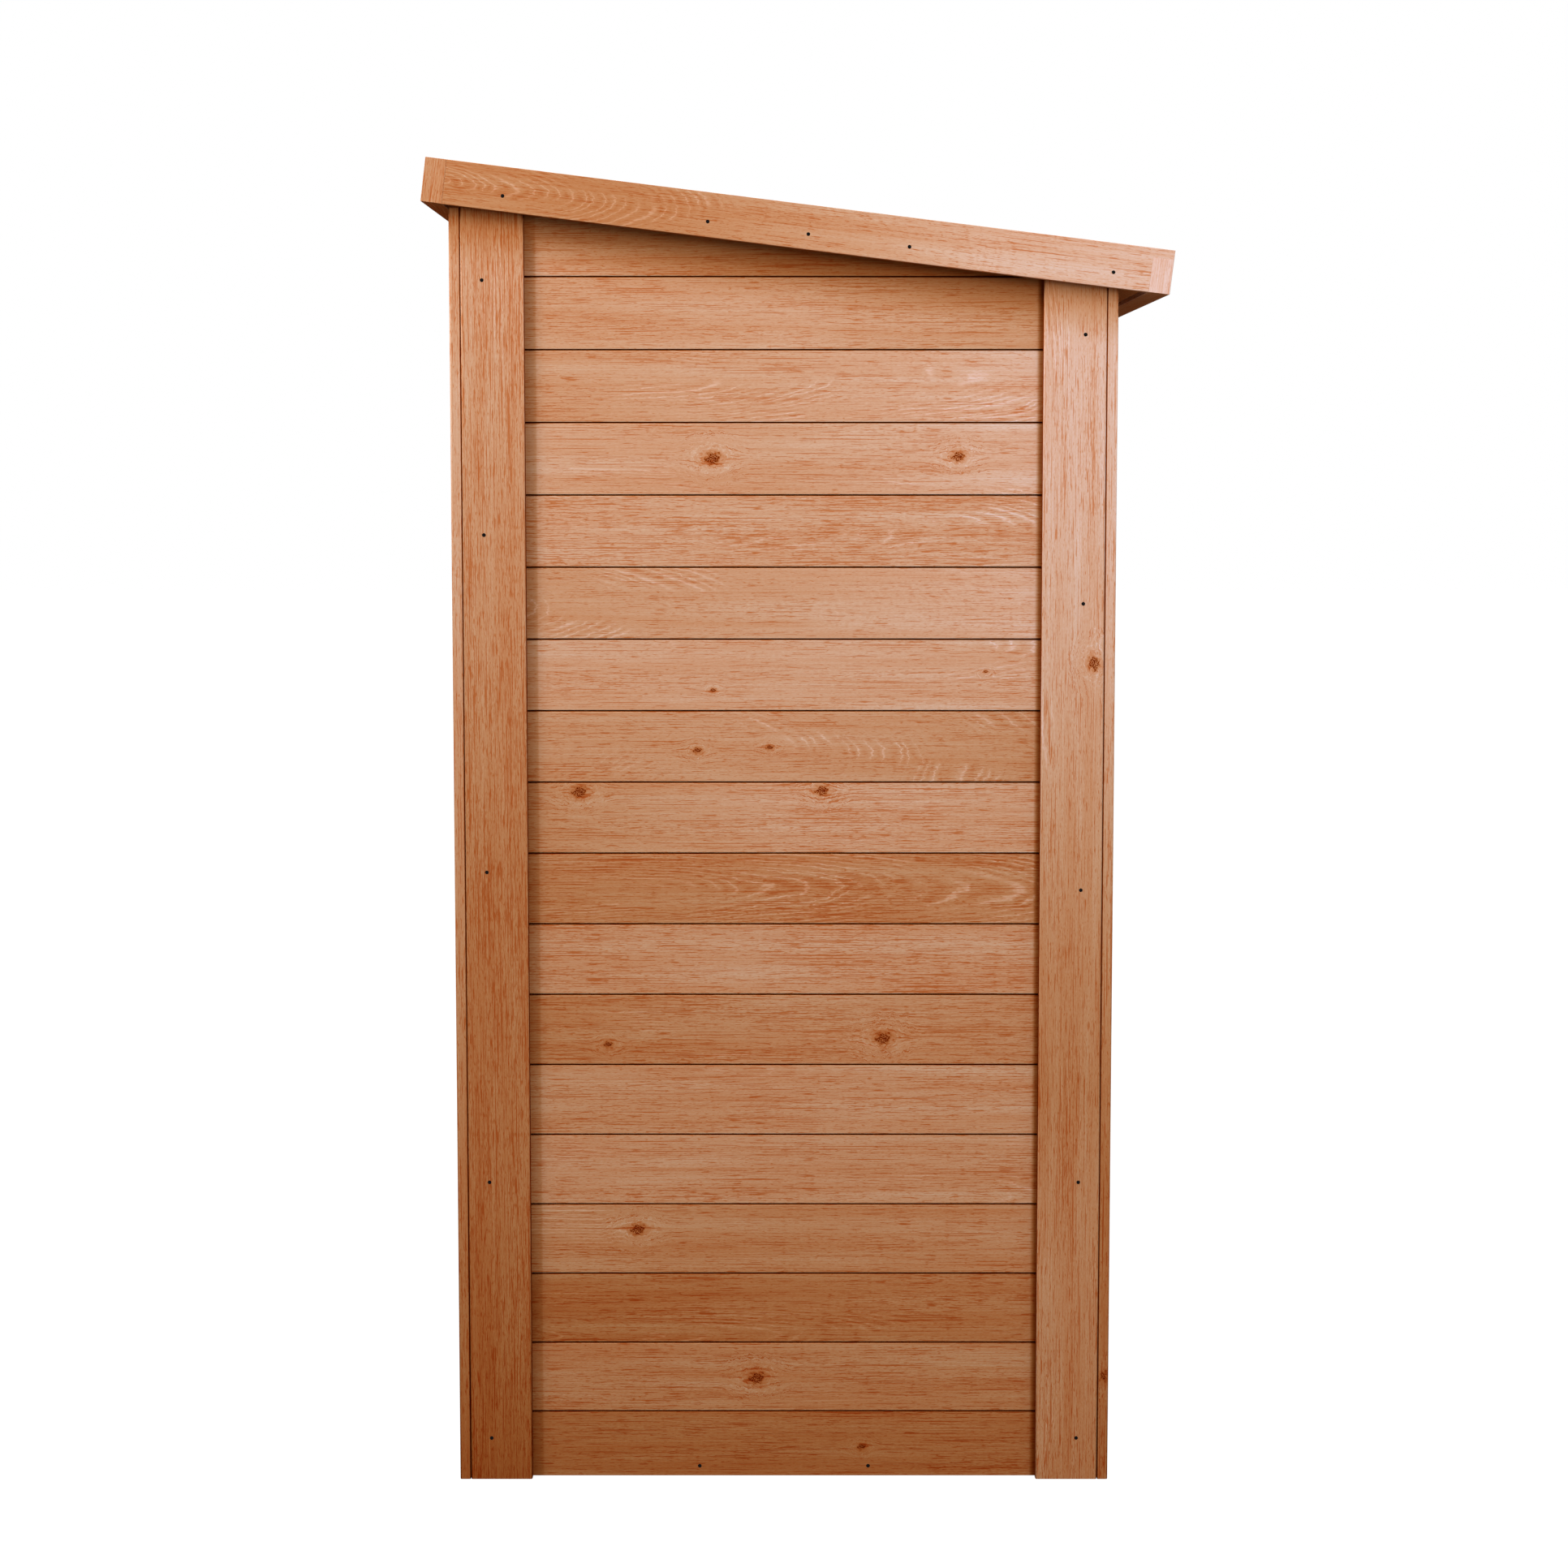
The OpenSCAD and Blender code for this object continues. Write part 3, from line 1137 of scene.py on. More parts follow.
@dataclass(frozen=True)
class Slope:
    """The roof's own frame: down the slope, along the eaves, and square to the slope.

    Attributes:
        pitch: Slope of the roof, in radians.
        middle: Height of the roof edge's middle line over the origin.
    """

    pitch: float
    middle: float

    @staticmethod
    def read() -> "Slope":
        """The slope, from the boxes of the first and last purlins and the high timber."""
        first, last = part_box("purlin_1")[0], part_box("purlin_5")[0]
        pitch = math.atan2(first.z - last.z, last.x - first.x)
        low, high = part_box("high_fascia")
        centre = (low + high) / 2
        return Slope(pitch, centre.z + centre.x * math.tan(pitch))

    @property
    def down(self) -> Vector:
        """Direction down the slope."""
        return Vector((math.cos(self.pitch), 0.0, -math.sin(self.pitch)))

    @property
    def square(self) -> Vector:
        """Direction square to the slope, upwards."""
        return Vector((math.sin(self.pitch), 0.0, math.cos(self.pitch)))

    def point(self, down: float, y: float, level: float) -> Vector:
        """A point from its place on the slope."""
        return Vector((0.0, y, self.middle)) + self.down * down + self.square * level

    def over(self, level: float) -> Plane:
        """A cut along the slope that takes away what is above a level."""
        return Plane(self.point(0.0, 0.0, level), self.square)

    def bar(self, node: str) -> Bar:
        """The section of a node that is a rectangle on the slope.

        Args:
            node: Name of the CAD node.

        Returns:
            Its section and ends.
        """
        low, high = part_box(node)
        size, centre = high - low, (low + high) / 2 - self.point(0.0, 0.0, 0.0)
        sine, cosine = math.sin(self.pitch), math.cos(self.pitch)
        share = cosine**2 - sine**2
        wide = (size.x * cosine - size.z * sine) / share
        tall = (size.z * cosine - size.x * sine) / share
        x, level = centre.dot(self.down), centre.dot(self.square)
        return Bar(x - wide / 2, x + wide / 2, level - tall / 2, level + tall / 2, low.y, high.y)


# ---------------------------------------------------------------------------------------------
# Walls
# ---------------------------------------------------------------------------------------------

BARE, PALE, EVEN, DEEP, DARK, SOAKED = Coat

# Front boards from the ground up.
FRONT_LOOKS = (
    Look((DEEP, EVEN), 0.45, (0.2, 0.2), Sawn.RIFT),
    Look((PALE, PALE), 0.40, (0.3, 0.4, 0.2), Sawn.QUARTER),
    Look((DARK, DEEP, EVEN), 0.55, (0.5, 0.7, 0.1), Sawn.HALF_CROWN),
    Look((EVEN, EVEN, PALE), 0.35, (0.6, 0.3, 0.1), Sawn.RIFT),
    Look((PALE, PALE), 0.45, (0.2, 0.3, 0.8), Sawn.HALF_CROWN),
    Look((EVEN, PALE, PALE), 0.45, (0.1, 0.3), Sawn.HALF_CROWN),
    Look((DARK, EVEN, EVEN), 0.60, (0.4, 0.4, 0.1), Sawn.RIFT),
    Look((EVEN, PALE, PALE), 0.65, (0.1, 0.1), Sawn.QUARTER),
    Look((DARK, DEEP, DEEP), 0.60, (0.4, 0.9, 0.9), Sawn.CROWN),
    Look((DARK, PALE, PALE), 0.55, (0.2, 0.2), Sawn.QUARTER),
    Look((DEEP, EVEN, DEEP), 0.40, (0.0, 0.3, 0.7, 0.4), Sawn.ARCHED),
    Look((EVEN, PALE), 0.35, (0.1, 0.6), Sawn.HALF_CROWN),
    Look((DEEP, EVEN, BARE), 0.30, (0.8, 0.3, 0.1), Sawn.ARCHED),
    Look((EVEN, EVEN, PALE), 0.68, (0.4, 0.4, 0.7), Sawn.CROWN),
    Look((EVEN, EVEN, BARE), 0.35, (0.3, 0.3), Sawn.RIFT),
    Look((DEEP, EVEN, BARE), 0.35, (0.6, 0.6, 0.5), Sawn.CROWN),
    Look((DEEP, EVEN, DEEP), 0.50, (0.3, 0.1), Sawn.QUARTER),
    # The top board goes from pale to soaked along its length: painted shade under the fascia,
    # deeper towards the low end.
    Look((PALE, DARK, SOAKED), 0.55, (0.3, 0.2), Sawn.RIFT),
)

# Their knots, by the board's place from the ground, with distances from the wall's middle.
FRONT_KNOTS = {
    0: (Knot(0.133, 0.052, 0.006),),
    1: (Knot(-0.046, 0.058, 0.011),),
    3: (Knot(-0.248, 0.076, 0.010),),
    6: (Knot(0.168, 0.045, 0.011), Knot(-0.297, 0.034, 0.006)),
    9: (Knot(-0.343, 0.104, 0.010), Knot(0.064, 0.106, 0.009)),
    10: (Knot(-0.145, 0.053, 0.006), Knot(-0.024, 0.058, 0.005)),
    11: (Knot(-0.119, 0.034, 0.004), Knot(0.337, 0.065, 0.003)),
    14: (Knot(-0.118, 0.061, 0.011), Knot(0.290, 0.064, 0.009)),
}

# The two nails in the lowest board, from the wall's middle and foot.
FRONT_NAILS = ((-0.144, 0.0169), (0.144, 0.0169))


def front_looks(width: float) -> list[Look]:
    """The front boards' looks, with knots measured from the wall's start."""
    looks = []
    for number, look in enumerate(FRONT_LOOKS):
        rise = 0.0 if number else COVER - LOWEST_BOARD
        spots = FRONT_KNOTS.get(number, ())
        knots = tuple(Knot(width / 2 + k.along, k.across + rise, k.radius) for k in spots)
        looks.append(replace(look, knots=knots, flip=number % 2 == 0))
    return looks


@dataclass
class BoardedWall:
    """Horizontal boards with a rebated edge, each lapped over the one below.

    Attributes:
        side: The side of the shed that the wall is on.
        node: The CAD node that the boards stand for.
        top: Cut along the underside of what the wall runs up to.
        first_joint: Height of the lowest joint.
        cover: Height that each board covers.
        gap: Open width of a joint.
        lip: Thickness of the lip that laps over the board below.
        lap: How far each board reaches up behind the next.
        clearance: Play between the lip and the board behind it.
        depth: Thickness of a board.
        knotty: Chance of each of two knots on a board drawn at random.
        covered: How much of each end of the boards lies behind a trim.
        together: How many boards make one piece.
        looks: Looks of the boards, from the ground up; boards past these are drawn at random.
    """

    side: Side
    node: str
    top: Plane
    first_joint: float = 0.1141
    cover: float = COVER
    gap: float = 0.0020
    lip: float = 0.0085
    lap: float = 0.0065
    clearance: float = 0.0006
    depth: float = 0.019
    knotty: float = 0.35
    covered: float = 0.105
    together: int = 1
    looks: Sequence[Look] = field(default_factory=tuple)

    def section(self) -> list[tuple[float, float]]:
        """Points round a board's section, across and out, from its lower edge's face corner."""
        low, high, back = self.gap / 2, self.cover - self.gap / 2, -self.depth
        shelf = -self.lip - self.clearance
        top, foot = self.cover + self.lap, self.lap + self.clearance
        return [
            (low, 0.0),
            (high, 0.0),
            (high, shelf),
            (top, shelf),
            (top, back),
            (foot, back),
            (foot, -self.lip),
            (low, -self.lip),
        ]

    def board(self, number: int) -> Timber:
        """One board.

        Args:
            number: Its place from the ground, from 0.

        Returns:
            The board in place, cut to the wall's bottom and top.
        """
        low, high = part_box(self.node)
        out = self.side.out
        along = UP.cross(out)
        start = box_corner(low, high, 0.0, along, out)
        length = abs((high - low).dot(along))
        foot = self.first_joint + (number - 1) * self.cover
        name = f"{self.node}_{number}"
        if number < len(self.looks):
            look = self.looks[number]
        else:
            look = Look.drawn(name, length, self.cover, self.knotty)
        bottom = Plane(Vector((0.0, 0.0, low.z)), -UP)
        return Timber(
            lay=Lay(start + UP * foot, along, out),
            length=length,
            width=self.cover,
            thickness=abs((high - low).dot(out)),
            look=look,
            name=name,
            arris=0.0019,
            low_arris=0.0006,
            end_arris=0.0,
            cuts=[bottom, self.top] if number == 0 else [self.top],
            section=self.section(),
            covered=self.covered,
            roof=self.top,
        )

    def build(self) -> None:
        """Builds every board, in pieces of one or more boards."""
        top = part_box(self.node)[1].z
        count = 1 + math.ceil((top - self.first_joint - self.gap) / self.cover)
        for first in range(0, count, self.together):
            last = min(first + self.together, count)
            name = f"{self.node}_board_{first + 1:02d}"
            if self.together > 1:
                name = f"{self.node}_boards_{first + 1:02d}_{last:02d}"
            piece = Piece(name, "wall_boards", STAINED, [self.node])
            for number in range(first, last):
                piece.add(self.board(number).mesh())
            piece.place()


@dataclass
class Nails:
    """Round nail heads on a flat face.

    Attributes:
        name: Name of the piece.
        slot: The record's material slot.
        radius: Radius of a head.
        proud: How far the heads stand out of the face.
        sides: Edges round a head.
        depth: Depth of a head, most of it sunk.
        crown: How far its middle rises over its rim.
        taper: Radius of the rim's top, as a share of the head's.
        rim: Width of the rim, as a share of the head's radius.
    """

    name: str
    slot: str = "corner_trim"
    radius: float = 0.0038
    proud: float = 0.0003
    sides: int = 12
    depth: float = 0.0012
    crown: float = 0.00012
    taper: float = 0.82
    rim: float = 0.4

    def build(self, places: Sequence[tuple[Vector, Vector]]) -> None:
        """Builds the heads.

        Args:
            places: Each head's middle on the face, and the direction out of it.
        """
        piece = Piece(self.name, self.slot, NailIron())
        sunk = Matrix.Translation((0.0, 0.0, self.proud - self.depth / 2 - self.crown))
        for middle, out in places:
            head = bmesh.new()
            bmesh.ops.create_cone(
                head,
                cap_ends=True,
                segments=self.sides,
                radius1=self.radius,
                radius2=self.radius * self.taper,
                depth=self.depth,
            )
            cap = max(head.faces, key=lambda f: f.calc_center_median().z)
            rim = self.radius * self.rim
            bmesh.ops.inset_individual(head, faces=[cap], thickness=rim, depth=self.crown)
            turn = UP.rotation_difference(out).to_matrix().to_4x4()
            place = Matrix.Translation(middle) @ turn @ sunk
            bmesh.ops.transform(head, matrix=place, verts=head.verts)
            piece.add(finished(head))
        piece.place()


# ---------------------------------------------------------------------------------------------
# Corner trims
# ---------------------------------------------------------------------------------------------


@dataclass
class CornerTrims:
    """The eight upright trims and their nails.

    Attributes:
        slope: The roof's slope.
        under: Cut along the underside of the purlins.
        arris: Radius of the rounded long edges.
        groove: Radius of the side trims' long edges beside the front and back trims.
        shadow_gap: Play between the two trims of a corner.
        knotty: Chance of each of two knots on a trim drawn at random.
        nail_inset: Distance of the nails from the corner's outer face.
        tall_nails: Heights of the nails on the tall side's trims.
        low_nails: Heights of the nails on the low side's trims.
    """

    slope: Slope
    under: Plane
    arris: float = 0.0022
    groove: float = 0.0015
    shadow_gap: float = 0.0006
    knotty: float = 0.25
    nail_inset: float = 0.0540
    tall_nails: tuple[float, ...] = (0.072, 0.515, 1.043, 1.607, 2.026)
    low_nails: tuple[float, ...] = (0.072, 0.515, 1.013, 1.493, 1.937)

    def looks(self) -> dict[str, Look]:
        """Looks of the trims that differ from a random draw."""
        pale_ends = (BARE, PALE, DEEP, EVEN, PALE, BARE, BARE)
        high_knot, low_knot = Knot(1.394, 0.017, 0.010), Knot(0.179, 0.100, 0.009, 0.008)
        dark_foot = (EVEN, DARK, EVEN, BARE, BARE)
        soaked_foot = (SOAKED, DARK, DARK, DEEP, EVEN)
        return {
            "front_left_trim": Look(soaked_foot, 0.75, (0.3, 0.2, 0.4), Sawn.RIFT),
            "front_right_trim": Look(pale_ends, 0.40, (0.4, 0.3), Sawn.RIFT, (high_knot,)),
            "left_front_trim": Look((DARK, DEEP, EVEN, EVEN), 0.5, (0.3, 0.3), Sawn.QUARTER),
            "right_front_trim": Look(dark_foot, 0.35, (0.2, 0.2), Sawn.QUARTER, (low_knot,)),
        }

    def trim(self, node: str, side: Side) -> None:
        """Builds one trim.

        Args:
            node: Its CAD node.
            side: The side that its good face is on.
        """
        low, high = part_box(node)
        faces_wide = side in (Side.FRONT, Side.BACK)
        if faces_wide and "left" in node:  # its outer edge stands off the side wall's trim
            low.x += self.shadow_gap
        elif faces_wide:
            high.x -= self.shadow_gap
        out, size = side.out, high - low
        across = out.cross(UP)
        start = box_corner(low, high, low.z, across, out)
        length, width = size.z + 2 * SPARE, abs(size.dot(across))
        outer_first = abs(start.y) > abs((start + across * width).y)
        # Painted shade on the trims' long edges where they meet the boards and the other trim.
        shaded_inside = (0.0, 1.0) if outer_first else (1.0, 0.0)
        square_topped = node in ("left_front_trim", "left_back_trim")
        timber = Timber(
            lay=Lay(start, UP, out),
            length=length,
            width=width,
            thickness=abs(size.dot(out)),
            look=self.looks().get(node) or Look.drawn(node, length, width, self.knotty),
            name=node,
            arris=self.arris,
            end_arris=0.0008,
            back_arris=None if faces_wide else self.groove,
            pooled=(1.0, 1.0) if faces_wide else shaded_inside,
            pooled_back=0.0 if faces_wide else 1.0,
            roof=self.under,
            cuts=[Plane(high, UP) if square_topped else self.under],
        )
        stained(node, "corner_trim", timber.mesh())

    def build(self) -> None:
        """Builds the trims and their nails."""
        inset = {
            "left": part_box("left_front_trim")[0].x + self.nail_inset,
            "right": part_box("right_back_trim")[1].x - self.nail_inset,
        }
        for side in Side:
            wide = side in (Side.FRONT, Side.BACK)
            places = []
            for other in inset if wide else ("front", "back"):
                node = f"{side.word}_{other}_trim"
                self.trim(node, side)
                low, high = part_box(node)
                face = (low + high) / 2 + side.out * abs((high - low).dot(side.out)) / 2
                if wide:
                    face.x = inset[other]
                heights = self.tall_nails if "left" in node else self.low_nails
                places += [(Vector((face.x, face.y, height)), side.out) for height in heights]
            Nails(f"{side.word}_trim_nails").build(places)


# ---------------------------------------------------------------------------------------------
# Roof
# ---------------------------------------------------------------------------------------------


@dataclass
class RoofEdge:
    """Fascias, edge timbers and the beam under the low eave.

    Attributes:
        slope: The roof's slope.
        nails: Places of the side fascias' nails down the slope, one into the end of each purlin.
        nail_rise: Height of these nails over the fascias' lower edge.
        nail_size: Radius of their heads.
        set_back: How far the side fascias' faces lie behind their nail heads.
        arris: Radius of the timbers' long edges.
        pooled: How much painted shade their lower and upper edges take.
    """

    slope: Slope
    nails: tuple[float, ...] = (-0.4867, -0.1481, 0.0181, 0.1854, 0.5229)
    nail_rise: float = 0.025
    nail_size: float = 0.0037
    set_back: float = 0.0004
    arris: float = 0.0009
    pooled: tuple[float, float] = (0.3, 0.0)

    def side_fascia(self, side: Side) -> None:
        """Builds the fascia over the front or the back wall, notched over the low timber's end."""
        node = f"{side.word}_fascia"
        high, low = self.slope.bar("high_fascia"), self.slope.bar("low_fascia")
        box_low, box_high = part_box(node)
        if side is Side.FRONT:
            along, start, face = self.slope.down, high.end, box_low.y + self.set_back
            # The stain thins towards the low end: painted light, as the fascia is lit more brightly
            # there.
            coats = (SOAKED, SOAKED, DEEP, PALE, BARE)
            look = Look(coats, 0.35, (0.7, 0.6, 0.1, 0.0), Sawn.ARCHED)
        else:
            along, start, face = -self.slope.down, low.end, box_high.y - self.set_back
            look = Look((EVEN, DEEP), 0.5, (0.8, 0.4), Sawn.CROWN, flip=True)
        timber = Timber(
            Lay(self.slope.point(start, face, high.bottom), along, side.out),
            low.end - high.end,
            high.top - high.bottom,
            box_high.y - box_low.y - self.set_back,
            look,
            node,
            arris=self.arris,
            end_arris=0.0003,
            pooled=self.pooled,
        )
        stained(node, "roof_trim", self._notched(timber, low))

    def _notched(self, timber: Timber, low: Bar) -> bpy.types.Mesh:
        """A side fascia without its lower corner, where the low timber's end shows.

        Args:
            timber: The fascia before it is notched.
            low: The low timber.

        Returns:
            One closed mesh.
        """
        whole = bmesh.new()
        part = timber.mesh()
        whole.from_mesh(part)
        bpy.data.meshes.remove(part)
        corner = self.slope.point(low.start, 0.0, low.top)
        ways = (self.slope.down, self.slope.square)

        def past(point: Vector) -> list[float]:
            """How far a point lies past the notch's inner corner, down the slope and up from it."""
            return [(point - corner).dot(way) for way in ways]

        def on_both(vert: bmesh.types.BMVert) -> bool:
            """Whether a point lies in the notch's inner corner."""
            return all(abs(distance) < NEAR for distance in past(vert.co))

        for way in ways:
            sliced(whole, corner, way)
        places = {face: past(face.calc_center_median()) for face in whole.faces}
        waste = [face for face, (down, up) in places.items() if down > NEAR and up < -NEAR]
        bmesh.ops.delete(whole, geom=waste, context="FACES")
        rim = [edge for edge in whole.edges if edge.is_boundary]
        inner = whole.edges.new(dict.fromkeys(v for e in rim for v in e.verts if on_both(v)))
        for which in range(len(ways)):
            ring = [e for e in rim if all(abs(past(v.co)[which]) < NEAR for v in e.verts)]
            bmesh.ops.edgeloop_fill(whole, edges=[*ring, inner])
        bmesh.ops.recalc_face_normals(whole, faces=whole.faces)
        return finished(whole)

    def edge_timber(self, node: str, out: Vector, look: Look) -> None:
        """Builds a timber that runs along the eaves.

        Args:
            node: Its CAD node.
            out: The direction that its good face looks in, down or up the slope.
            look: Its look.
        """
        bar = self.slope.bar(node)
        if out.dot(self.slope.down) > 0:
            along, down, y = Side.BACK.out, bar.end, bar.front
        else:
            along, down, y = Side.FRONT.out, bar.start, bar.back
        timber = Timber(
            Lay(self.slope.point(down, y, bar.bottom), along, out),
            bar.back - bar.front,
            bar.top - bar.bottom,
            bar.end - bar.start,
            look,
            node,
            arris=self.arris,
            pooled=self.pooled,
        )
        stained(node, "roof_trim", timber.mesh())

    def build(self) -> None:
        """Builds the roof's edge and the nails into the purlins' ends."""
        self.side_fascia(Side.FRONT)
        self.side_fascia(Side.BACK)
        down = self.slope.down
        high_look = Look((EVEN, DARK), 0.45, (0.7, 0.7), Sawn.HALF_CROWN)
        self.edge_timber("high_fascia", -down, high_look)
        self.edge_timber("low_fascia", down, Look((BARE, EVEN), 0.05, (0.0, 0.4), ends=PALE))
        self.edge_timber("eave_beam", down, Look((DEEP, DEEP), 0.4, (0.3, 0.3)))
        level = self.slope.bar("high_fascia").bottom + self.nail_rise
        for number, side in enumerate((Side.FRONT, Side.BACK)):
            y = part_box(f"{side.word}_fascia")[number].y - side.out.y * self.set_back
            places = [(self.slope.point(x, y, level), side.out) for x in self.nails]
            Nails(f"{side.word}_fascia_nails", "roof_trim", self.nail_size).build(places)


@dataclass
class RoofSkin:
    """Deck boards under two lapped sheets of felt, with clout nails.

    Attributes:
        slope: The roof's slope.
        boards: Deck boards, which run down the slope.
        board_gap: Open width of the joints between them.
        sheet: Thickness of one sheet of felt.
        lap_at: Lower edge of the upper sheet, down the slope.
        lap: How far the sheets overlap.
        nail_pitch: Distance between clout nails.
        nail_inset: Distance of the clout nails from an edge.
    """

    slope: Slope
    boards: int = 18
    board_gap: float = 0.0016
    sheet: float = 0.0013
    lap_at: float = 0.080
    lap: float = 0.075
    nail_pitch: float = 0.150
    nail_inset: float = 0.022

    def deck(self) -> None:
        """Builds the deck boards."""
        bar = self.slope.bar("roof_deck")
        pitch = (bar.back - bar.front) / self.boards
        length, width, thickness = bar.end - bar.start, pitch - self.board_gap, bar.top - bar.bottom
        piece = Piece("roof_deck", "deck_boards", FRAME_TIMBER, ["roof_deck"])
        for number in range(self.boards):
            name = f"deck_{number}"
            y = bar.front + number * pitch + self.board_gap / 2
            lay = Lay(self.slope.point(bar.start, y, bar.top), self.slope.down, self.slope.square)
            look = Look.drawn(name, length, width)
            piece.add(Timber(lay, length, width, thickness, look, name, arris=0.001).mesh())
        piece.place()

    def felt(self) -> None:
        """Builds the two sheets, the upper one lapped over the lower one."""
        bar = self.slope.bar("roof_felt")
        piece = Piece("roof_felt", "felt", MineralFelt(), ["roof_felt"])
        ways = (self.slope.down, Side.BACK.out, self.slope.square)
        turn = Matrix(ways).transposed().to_4x4()
        lower = (self.lap_at - self.lap, bar.end, bar.bottom)
        upper = (bar.start, self.lap_at, bar.bottom + self.sheet)
        for start, end, under in (lower, upper):
            bm = bmesh.new()
            bmesh.ops.create_cube(bm, size=1.0)
            size = Matrix.Diagonal((end - start, bar.back - bar.front, self.sheet, 1.0))
            bmesh.ops.transform(bm, matrix=size, verts=bm.verts)
            rounded(bm, [e for e in bm.edges if all(v.co.z > 0 for v in e.verts)], 0.0005, 1)
            y, level = (bar.front + bar.back) / 2, under + self.sheet / 2
            place = Matrix.Translation(self.slope.point((start + end) / 2, y, level)) @ turn
            bmesh.ops.transform(bm, matrix=place, verts=bm.verts)
            piece.add(finished(bm))
        piece.place()

    def nails(self) -> None:
        """Builds the clout nails along the lap and round the edges."""
        bar = self.slope.bar("roof_felt")
        top, foot = bar.start + self.nail_inset, bar.end - self.nail_inset
        front, back = bar.front + self.nail_inset, bar.back - self.nail_inset
        across = round((back - front) / self.nail_pitch)
        down = round((foot - top) / self.nail_pitch)
        spots = []
        for step in range(across + 1):
            y = front + step * (back - front) / across
            spots += [(x, y) for x in (top, self.lap_at - self.nail_inset, foot)]
        for step in range(1, down):
            spots += [(top + step * (foot - top) / down, y) for y in (front, back)]
        places = []
        for x, y in spots:
            sheets = 2 if x < self.lap_at else 1
            point = self.slope.point(x, y, bar.bottom + sheets * self.sheet)
            places.append((point, self.slope.square))
        Nails("felt_nails", "felt", 0.0045, 0.0002, 10).build(places)

    def build(self) -> None:
        """Builds the deck, the felt and its nails."""
        self.deck()
        self.felt()
        self.nails()


# ---------------------------------------------------------------------------------------------
# Timber frame
# ---------------------------------------------------------------------------------------------


@dataclass
class TimberFrame:
    """Posts, studs, rails and purlins behind the boards.

    Attributes:
        slope: The roof's slope.
        under: Cut along the underside of the purlins.
        arris: Radius of the planed edges.
        rail_height: Height of the rails, square to their run.
    """

    slope: Slope
    under: Plane
    arris: float = 0.002
    rail_height: float = 0.058

    def timber(
        self, node: str, lay: Lay, size: tuple[float, float, float], cuts: Sequence[Plane] = ()
    ) -> Timber:
        """A timber of the frame, with a look drawn from its name.

        Args:
            node: Its CAD node.
            lay: Where it lies.
            size: Its length, width and thickness.
            cuts: Saw cuts made in place.

        Returns:
            The timber.
        """
        length, width, thickness = size
        look = Look.drawn(node, length, width)
        return Timber(lay, length, width, thickness, look, node, self.arris, cuts=cuts)

    def upright(self, node: str) -> Timber:
        """A post or a stud."""
        low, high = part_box(node)
        size, is_post = high - low, "post" in node
        lay = Lay(Vector((high.x, low.y, low.z)), UP, Side.FRONT.out)
        length = size.z + (SPARE if is_post else 0.0)
        return self.timber(node, lay, (length, size.x, size.y), [self.under] if is_post else ())

    def level_rail(self, node: str) -> Timber:
        """A rail that lies level, its top planed to the slope where it meets the purlins."""
        low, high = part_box(node)
        size, is_top = high - low, "top" in node
        height = size.z + (SPARE if is_top else 0.0)
        if size.x > size.y:
            lay = Lay(low, Side.RIGHT.out, Side.FRONT.out)
            sizes = (size.x, height, size.y)
        else:
            lay = Lay(Vector((high.x, low.y, low.z)), Side.BACK.out, Side.RIGHT.out)
            sizes = (size.y, height, size.x)
        return self.timber(node, lay, sizes, [self.under] if is_top else ())

    def sloping_rail(self, node: str) -> Timber:
        """The top rail of the front or back wall, cut plumb between the posts."""
        low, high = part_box(node)
        cosine, height = math.cos(self.slope.pitch), self.rail_height
        start, end = low.x / cosine - 2 * SPARE, high.x / cosine + 2 * SPARE
        corner = self.slope.point(start, low.y, self.slope.bar("purlin_1").bottom - height)
        cuts = [Plane(low, Side.LEFT.out), Plane(high, Side.RIGHT.out)]
        lay = Lay(corner, self.slope.down, Side.FRONT.out)
        return self.timber(node, lay, (end - start, height, high.y - low.y), cuts)

    def purlin(self, node: str) -> Timber:
        """A purlin, from fascia to fascia."""
        bar = self.slope.bar(node)
        start = self.slope.point(bar.end, bar.front, bar.bottom)
        size = (bar.back - bar.front, bar.top - bar.bottom, bar.end - bar.start)
        return self.timber(node, Lay(start, Side.BACK.out, self.slope.down), size)

    def build(self) -> None:
        """Builds the frame in three pieces: uprights, rails and purlins."""
        posts = [f"{a}_{b}_post" for a in ("front", "back") for b in ("left", "right")]
        level = [*(f"{side.word}_bottom_rail" for side in Side), "left_top_rail", "right_top_rail"]
        purlins = [f"purlin_{number}" for number in range(1, 6)]
        kinds: dict[str, list[tuple[Callable[[str], Timber], list[str]]]] = {
            "corner_posts_and_studs": [(self.upright, [*posts, "left_stud", "right_stud"])],
            "wall_rails": [
                (self.level_rail, level),
                (self.sloping_rail, ["front_top_rail", "back_top_rail"]),
            ],
            "purlins": [(self.purlin, purlins)],
        }
        for name, makers in kinds.items():
            nodes = [node for _, made in makers for node in made]
            piece = Piece(name, "frame_timber", FRAME_TIMBER, nodes)
            for maker, made in makers:
                for node in made:
                    piece.add(maker(node).mesh())
            piece.place()


# ---------------------------------------------------------------------------------------------
# Studio
# ---------------------------------------------------------------------------------------------


